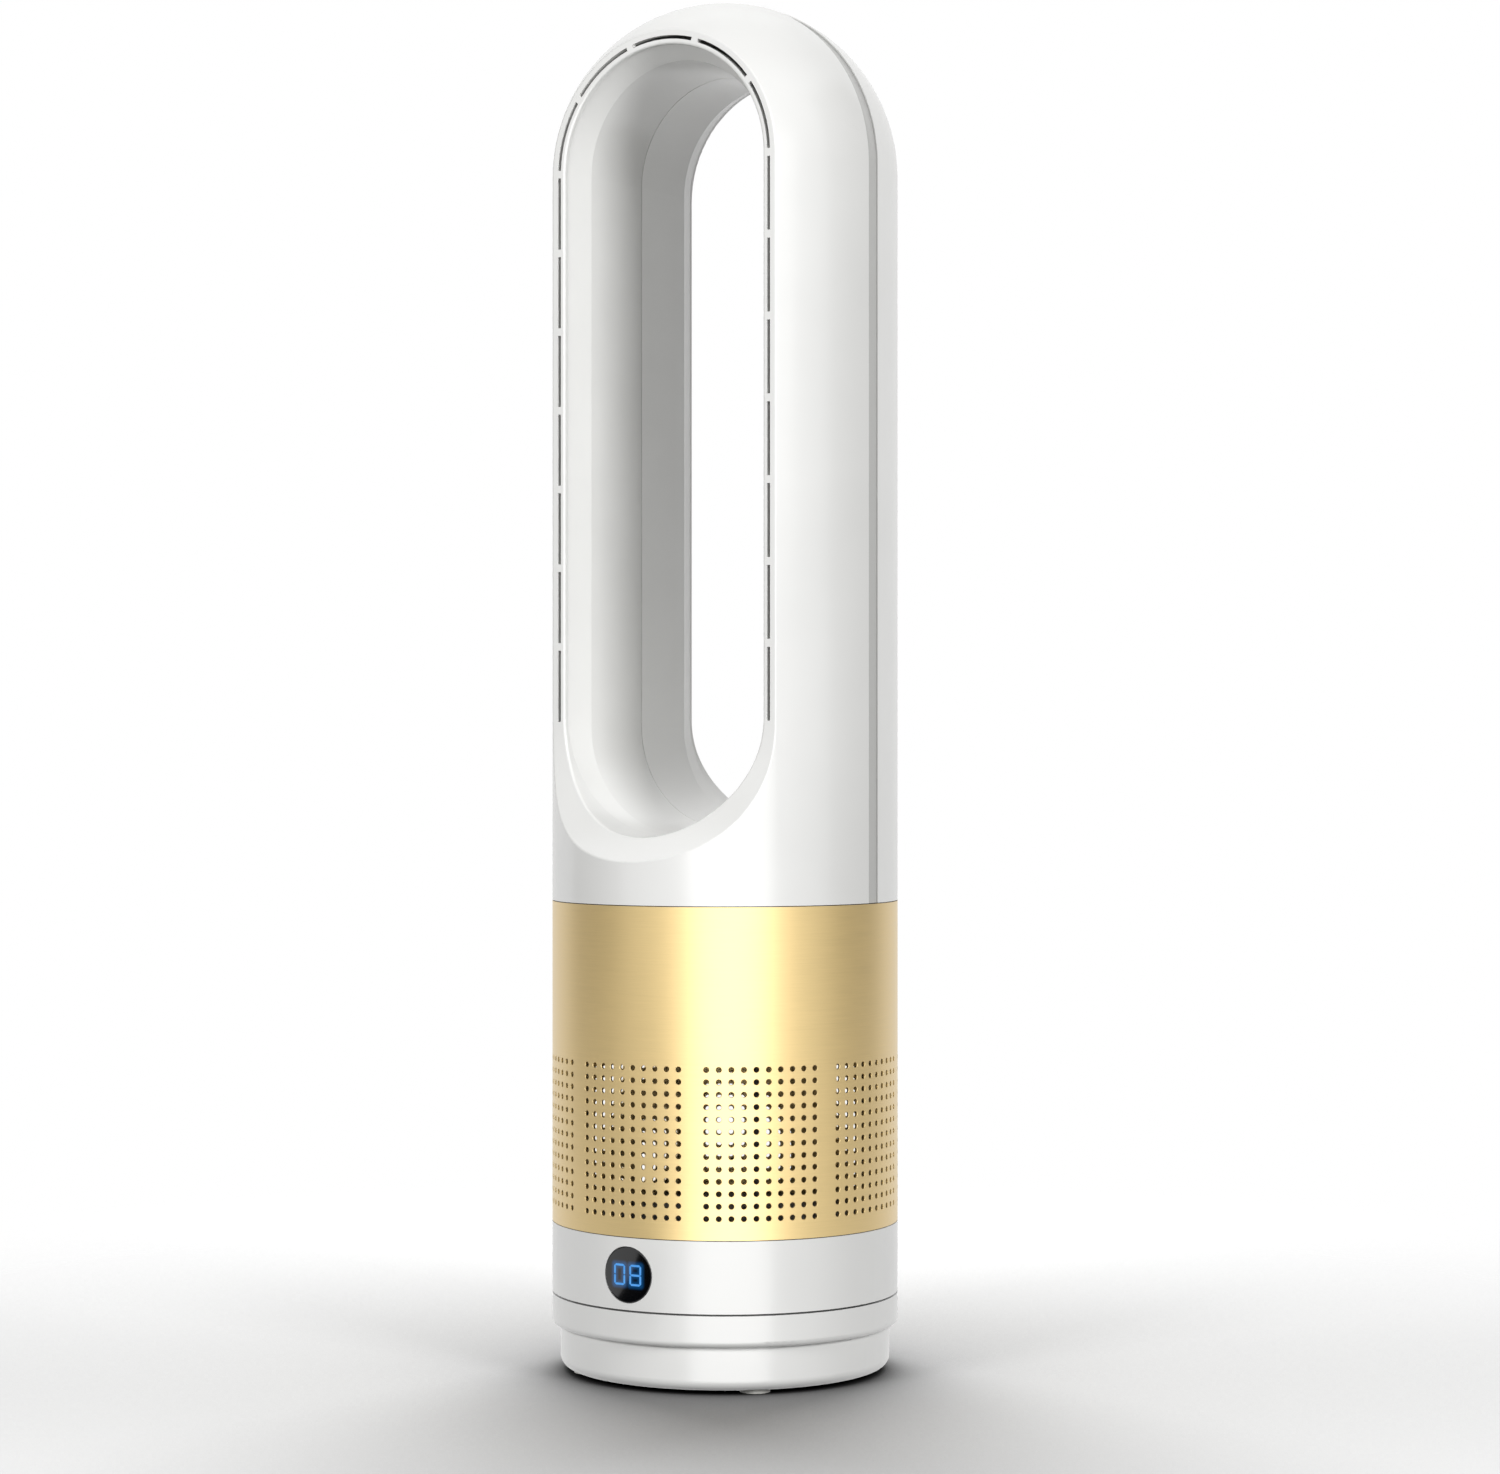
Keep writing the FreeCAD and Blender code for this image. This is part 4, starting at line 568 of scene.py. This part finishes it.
def made_by(name, tree, names, values):
    """Runs a node tree once on an empty mesh and keeps the result as a plain mesh."""
    item = new_object(name, bpy.data.meshes.new(name + "_seed"))
    modifier = item.modifiers.new(tree.name, "NODES")
    modifier.node_group = tree
    for label, value in values.items():
        modifier[names[label]] = value
    bpy.context.view_layer.update()
    ready = item.evaluated_get(bpy.context.evaluated_depsgraph_get())
    result = bpy.data.meshes.new_from_object(ready)
    item.modifiers.remove(modifier)
    item.data = result
    result.name = name
    return item


def report_open_edges(item):
    shape = bmesh.new()
    shape.from_mesh(item.data)
    loose = sum(len(edge.link_faces) != 2 for edge in shape.edges)
    print(item.name, "faces:", len(shape.faces), "open edges:", loose)
    shape.free()


# %% Sleeve node tree
tree, names, given = new_tree("perforated_sleeve", {
    "Tile": "Object", "Radius": "Float", "Wall": "Float", "Column Pitch": "Float", "Row Pitch": "Float",
    "Columns": "Int", "Rows": "Int", "Groups": "Int", "Bottom": "Float", "Foot": "Float",
    "Height": "Float", "Finish": "Material"})
QUARTER = (math.pi / 2, 0, 0)


def upright(tree, wide, tall, across, up, x, y, z, flip):
    """A flat panel of the sheet, facing out, or facing in when flipped."""
    panel = add(tree, "GeometryNodeMeshGrid", [wide, tall, across, up])
    spot = add(tree, "ShaderNodeCombineXYZ", [x, y, z])
    panel = add(tree, "GeometryNodeTransform", {"Geometry": panel, "Rotation": QUARTER,
                                                "Translation": spot})
    return add(tree, "GeometryNodeFlipFaces", [panel]) if flip else panel


around = add(tree, MATH, [given["Radius"], 2 * math.pi], operation="MULTIPLY")
sector = add(tree, MATH, [around, given["Groups"]], operation="DIVIDE")
group_wide = add(tree, MATH, [given["Column Pitch"], given["Columns"]], operation="MULTIPLY")
plain_wide = add(tree, MATH, [sector, group_wide], operation="SUBTRACT")
zone_tall = add(tree, MATH, [given["Row Pitch"], given["Rows"]], operation="MULTIPLY")
zone_low = add(tree, MATH, [given["Bottom"], given["Foot"]], operation="ADD")
zone_middle = add(tree, MATH, [zone_tall, 0.5, zone_low], operation="MULTIPLY_ADD")
crown_low = add(tree, MATH, [zone_low, zone_tall], operation="ADD")
top = add(tree, MATH, [given["Bottom"], given["Height"]], operation="ADD")
crown_tall = add(tree, MATH, [top, crown_low], operation="SUBTRACT")

# %% [markdown]
# One sector is a group of holes and the plain strip beside it, front and back. A grid of points as
# wide as the outermost holes carries the tiles, and the strip is divided as finely as the tiles so
# that their edges meet point for point.

# %% One sector of the sheet
centres_wide = add(tree, MATH, [group_wide, given["Column Pitch"]], operation="SUBTRACT")
centres_tall = add(tree, MATH, [zone_tall, given["Row Pitch"]], operation="SUBTRACT")
centres = upright(tree, centres_wide, centres_tall, given["Columns"], given["Rows"], 0.0, 0.0,
                  zone_middle, False)
punched = add(tree, "GeometryNodeObjectInfo", {"Object": given["Tile"]}).outputs["Geometry"]
group = add(tree, "GeometryNodeInstanceOnPoints", {"Points": centres, "Instance": punched})

plain_up = add(tree, MATH, [given["Rows"], HOLE_SIDES / 4, 1.0], operation="MULTIPLY_ADD")
half_sector = add(tree, MATH, [sector, 0.5], operation="MULTIPLY")
plain_steps = add(tree, MATH, [plain_wide, SHEET_STEP], operation="DIVIDE")
plain_steps = add(tree, MATH, [plain_steps], operation="ROUND")
plain_across = add(tree, MATH, [plain_steps, 1.0], operation="ADD")
sector_join = add(tree, "GeometryNodeJoinGeometry")
tree.links.new(group.outputs[0], sector_join.inputs[0])
for depth, flip in ((0.0, False), (given["Wall"], True)):
    strip = upright(tree, plain_wide, zone_tall, plain_across, plain_up, half_sector, depth,
                    zone_middle, flip)
    tree.links.new(strip.outputs[0], sector_join.inputs[0])

# %% [markdown]
# The sector is repeated along the sheet, a plain band is added below and above, and a narrow strip
# closes the sheet's lower and upper edge. Then the flat sheet is rolled, its meeting points are
# merged, and only true corners keep a hard edge.

# %% The whole sheet, rolled
step = add(tree, "ShaderNodeCombineXYZ", [sector])
starts = add(tree, "GeometryNodeMeshLine", {"Count": given["Groups"], "Offset": step})
sectors = add(tree, "GeometryNodeInstanceOnPoints", {"Points": starts, "Instance": sector_join})
ring_steps = add(tree, MATH, [around, SHEET_STEP], operation="DIVIDE")
ring_steps = add(tree, MATH, [ring_steps], operation="ROUND")
ring_across = add(tree, MATH, [ring_steps, 1.0], operation="ADD")
ring_start = add(tree, MATH, [group_wide, -0.5], operation="MULTIPLY")
ring_middle = add(tree, MATH, [around, 0.5, ring_start], operation="MULTIPLY_ADD")
foot_middle = add(tree, MATH, [given["Foot"], 0.5, given["Bottom"]], operation="MULTIPLY_ADD")
crown_middle = add(tree, MATH, [crown_tall, 0.5, crown_low], operation="MULTIPLY_ADD")
half_wall = add(tree, MATH, [given["Wall"], 0.5], operation="MULTIPLY")
sheet_join = add(tree, "GeometryNodeJoinGeometry")
tree.links.new(sectors.outputs[0], sheet_join.inputs[0])
for tall, middle in ((given["Foot"], foot_middle), (crown_tall, crown_middle)):
    for depth, flip in ((0.0, False), (given["Wall"], True)):
        band = upright(tree, around, tall, ring_across, 2, ring_middle, depth, middle, flip)
        tree.links.new(band.outputs[0], sheet_join.inputs[0])
for level, flip in ((given["Bottom"], True), (top, False)):
    edge = add(tree, "GeometryNodeMeshGrid", [around, given["Wall"], ring_across, 2])
    spot = add(tree, "ShaderNodeCombineXYZ", [ring_middle, half_wall, level])
    edge = add(tree, "GeometryNodeTransform", {"Geometry": edge, "Translation": spot})
    if flip:
        edge = add(tree, "GeometryNodeFlipFaces", [edge])
    tree.links.new(edge.outputs[0], sheet_join.inputs[0])

MERGE_REACH = 0.02 * MM
SHARP_ANGLE = math.radians(35)
sheet = add(tree, "GeometryNodeRealizeInstances", [sheet_join])
sheet = add(tree, "GeometryNodeMergeByDistance", {"Geometry": sheet, "Distance": MERGE_REACH})
sheet = rolled(tree, sheet, given["Radius"])
sheet = add(tree, "GeometryNodeMergeByDistance", {"Geometry": sheet, "Distance": MERGE_REACH})
sheet = add(tree, "GeometryNodeSetShadeSmooth", {"Geometry": sheet})
bend = add(tree, "GeometryNodeInputMeshEdgeAngle").outputs["Unsigned Angle"]
crease = add(tree, "FunctionNodeCompare", [bend, SHARP_ANGLE], data_type="FLOAT",
             operation="GREATER_THAN")
sheet = add(tree, "GeometryNodeSetShadeSmooth", {"Geometry": sheet, "Selection": crease,
                                                 "Shade Smooth": False}, domain="EDGE")
finished(tree, sheet, given["Finish"])

# %% Make the sleeve
sleeve = made_by("perforated_sleeve", tree, names, {
    "Tile": tile, "Radius": SLEEVE_RADIUS, "Wall": SLEEVE_WALL, "Column Pitch": COLUMN_PITCH,
    "Row Pitch": ROW_PITCH, "Columns": COLUMNS, "Rows": ROWS, "Groups": GROUPS,
    "Bottom": sleeve_low.z, "Foot": FIRST_ROW - ROW_PITCH / 2, "Height": sleeve_high.z - sleeve_low.z,
    "Finish": champagne})
bpy.data.objects.remove(tile)
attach(sleeve, "tower")
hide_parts("grille_sleeve")
report_open_edges(sleeve)

# %% [markdown]
# ## The figures
# The display reads 08. A seven-segment figure is one small bar set down up to seven times, lying or
# upright, so each lit segment is a point that knows its turn and its stretch, and Geometry Nodes sets
# the bar on each. The bar has pointed ends, as LED segments do, and is rolled like the sleeve.

# %% Segments
lens_low, lens_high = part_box("display_window")
LENS_MIDDLE = (lens_low.z + lens_high.z) / 2
LENS_DEPTH = 0.06 * MM
FIGURE_DEPTH = 0.02 * MM
FIGURE_WIDE = 5.4 * MM
FIGURE_TALL = 8.8 * MM
FIGURE_STEP = 8.7 * MM
STROKE = 0.95 * MM
SEGMENTS = {"top": (0, 2, False), "middle": (0, 0, False), "bottom": (0, -2, False),
            "upper_left": (-1, 1, True), "upper_right": (1, 1, True),
            "lower_left": (-1, -1, True), "lower_right": (1, -1, True)}
FIGURES = {0: set(SEGMENTS) - {"middle"}, 8: set(SEGMENTS)}

lit = []
for place, figure in enumerate((0, 8)):
    shift = (place - 0.5) * FIGURE_STEP
    for name in sorted(FIGURES[figure]):
        side, rise, standing = SEGMENTS[name]
        lit.append((shift + side * FIGURE_WIDE / 2, LENS_MIDDLE + rise * FIGURE_TALL / 4, standing))
print("lit segments:", len(lit))

# %% Segment points and bar
mesh = bpy.data.meshes.new("segment_points")
mesh.from_pydata([(x, FIGURE_DEPTH, z) for x, z, standing in lit], [], [])
turn = mesh.attributes.new("turn", "FLOAT", "POINT")
turn.data.foreach_set("value", [math.pi / 2 if standing else 0.0 for x, z, standing in lit])
stretch = mesh.attributes.new("stretch", "FLOAT", "POINT")
stretch.data.foreach_set("value", [1.0 if standing else 2 * FIGURE_WIDE / FIGURE_TALL
                                   for x, z, standing in lit])
segment_points = new_object("segment_points", mesh)

BAR_LONG = FIGURE_TALL / 2 - 0.1 * MM
BAR_THICK = 0.3 * MM
shoulder = BAR_LONG / 2 - STROKE / 2
stations = [-shoulder, -shoulder / 3, shoulder / 3, shoulder]
outline = ([(-BAR_LONG / 2, 0)] + [(x, -STROKE / 2) for x in stations] + [(BAR_LONG / 2, 0)]
           + [(x, STROKE / 2) for x in reversed(stations)])
count = len(outline)
points = [(x, y, z) for y in (0, BAR_THICK) for x, z in outline]
# The outline's points run from the left tip along the lower edge to the right tip, and back above.
faces = [(0, 1, 9), (1, 2, 8, 9), (2, 3, 7, 8), (3, 4, 6, 7), (4, 5, 6)]
faces += [tuple(count + k for k in reversed(face)) for face in faces]
faces += [(k, k + count, (k + 1) % count + count, (k + 1) % count) for k in range(count)]
mesh = bpy.data.meshes.new("segment_bar")
mesh.from_pydata(points, [], faces)
bar = new_object("segment_bar", mesh)
print("bar faces:", len(faces))

# %% Figures node tree
tree, names, given = new_tree("lit_figures", {
    "Points": "Object", "Bar": "Object", "Radius": "Float", "Finish": "Material"})
spots = add(tree, "GeometryNodeObjectInfo", {"Object": given["Points"]}).outputs["Geometry"]
one_bar = add(tree, "GeometryNodeObjectInfo", {"Object": given["Bar"]}).outputs["Geometry"]
turn = add(tree, "GeometryNodeInputNamedAttribute", {"Name": "turn"}, data_type="FLOAT")
turn = add(tree, "ShaderNodeCombineXYZ", {"Y": turn})
turn = add(tree, "FunctionNodeEulerToRotation", [turn])
stretch = add(tree, "GeometryNodeInputNamedAttribute", {"Name": "stretch"}, data_type="FLOAT")
stretch = add(tree, "ShaderNodeCombineXYZ", [stretch, 1.0, 1.0])
bars = add(tree, "GeometryNodeInstanceOnPoints", {"Points": spots, "Instance": one_bar,
                                                  "Rotation": turn, "Scale": stretch})
bars = add(tree, "GeometryNodeRealizeInstances", [bars])
finished(tree, rolled(tree, bars, given["Radius"]), given["Finish"])

# %% Make the figures
figures = made_by("lit_figures", tree, names, {
    "Points": segment_points, "Bar": bar, "Radius": SLEEVE_RADIUS, "Finish": lit_blue})
bpy.data.objects.remove(segment_points)
bpy.data.objects.remove(bar)
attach(figures, "tower")
report_open_edges(figures)

# %% [markdown]
# ## The lens
# The window is a round pane that follows the band's curve, with a softly rounded edge and a flange
# behind the band that holds it. Rings of points, each with its own radius and depth, make it in mesh
# code, because a turned profile on a curved wall needs no more than that. The lens lies a hair behind
# the figures, and each of its points keeps its distance from the nearest segment for the glow.

# %% Lens rings
LENS_SIDES = 72
LENS_RADIUS = 13.0 * MM
FLANGE_RADIUS = lens_high.x
PANE_STEPS = 25
PANE_SHARE = 0.962
ROUNDED_EDGE = [(12.7, 0.08), (12.87, 0.16), (12.97, 0.28)]
EDGE_END = 0.42 * MM
LENS_SIDE_END = 3.0 * MM
FLANGE_FRONT = 3.02 * MM
LENS_BACK = 4.4 * MM
LENS_SHARP_ANGLE = math.radians(40)
profile = [(LENS_RADIUS * PANE_SHARE * k / PANE_STEPS, LENS_DEPTH) for k in range(1, PANE_STEPS + 1)]
profile += [(radius * MM, depth * MM) for radius, depth in ROUNDED_EDGE]
profile += [(LENS_RADIUS, EDGE_END), (LENS_RADIUS, LENS_SIDE_END), (FLANGE_RADIUS, FLANGE_FRONT),
            (FLANGE_RADIUS, LENS_BACK)]


def on_pane(x, rise, depth):
    return (x, -math.sqrt((SLEEVE_RADIUS - depth) ** 2 - x * x), LENS_MIDDLE + rise)


points = [on_pane(0, 0, LENS_DEPTH)]
for radius, depth in profile:
    for k in range(LENS_SIDES):
        t = 2 * math.pi * k / LENS_SIDES
        points.append(on_pane(radius * math.cos(t), radius * math.sin(t), depth))
points.append(on_pane(0, 0, LENS_BACK))


def spot_number(row, k):
    return 1 + row * LENS_SIDES + k % LENS_SIDES


faces = []
for k in range(LENS_SIDES):
    faces.append((0, spot_number(0, k), spot_number(0, k + 1)))
    for row in range(len(profile) - 1):
        faces.append((spot_number(row, k), spot_number(row + 1, k), spot_number(row + 1, k + 1),
                      spot_number(row, k + 1)))
    faces.append((spot_number(len(profile) - 1, k), len(points) - 1,
                  spot_number(len(profile) - 1, k + 1)))
print("lens points:", len(points), "faces:", len(faces))

# %% Lens and its glow


def to_segment(point):
    gaps = []
    for x, z, standing in lit:
        half = FIGURE_TALL / 4 if standing else FIGURE_WIDE / 2
        along, aside = (point[2] - z, point[0] - x) if standing else (point[0] - x, point[2] - z)
        gaps.append(math.hypot(max(0.0, abs(along) - half), aside))
    return min(gaps)


mesh = bpy.data.meshes.new("display_lens")
mesh.from_pydata(points, [], faces)
distance = mesh.attributes.new("figure_distance", "FLOAT", "POINT")
distance.data.foreach_set("value", [to_segment(point) for point in points])
mesh.materials.append(black_lens)
mesh.shade_smooth()
mesh.set_sharp_from_angle(angle=LENS_SHARP_ANGLE)
lens = new_object("display_lens", mesh)
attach(lens, "tower")
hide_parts("display_window")
report_open_edges(lens)
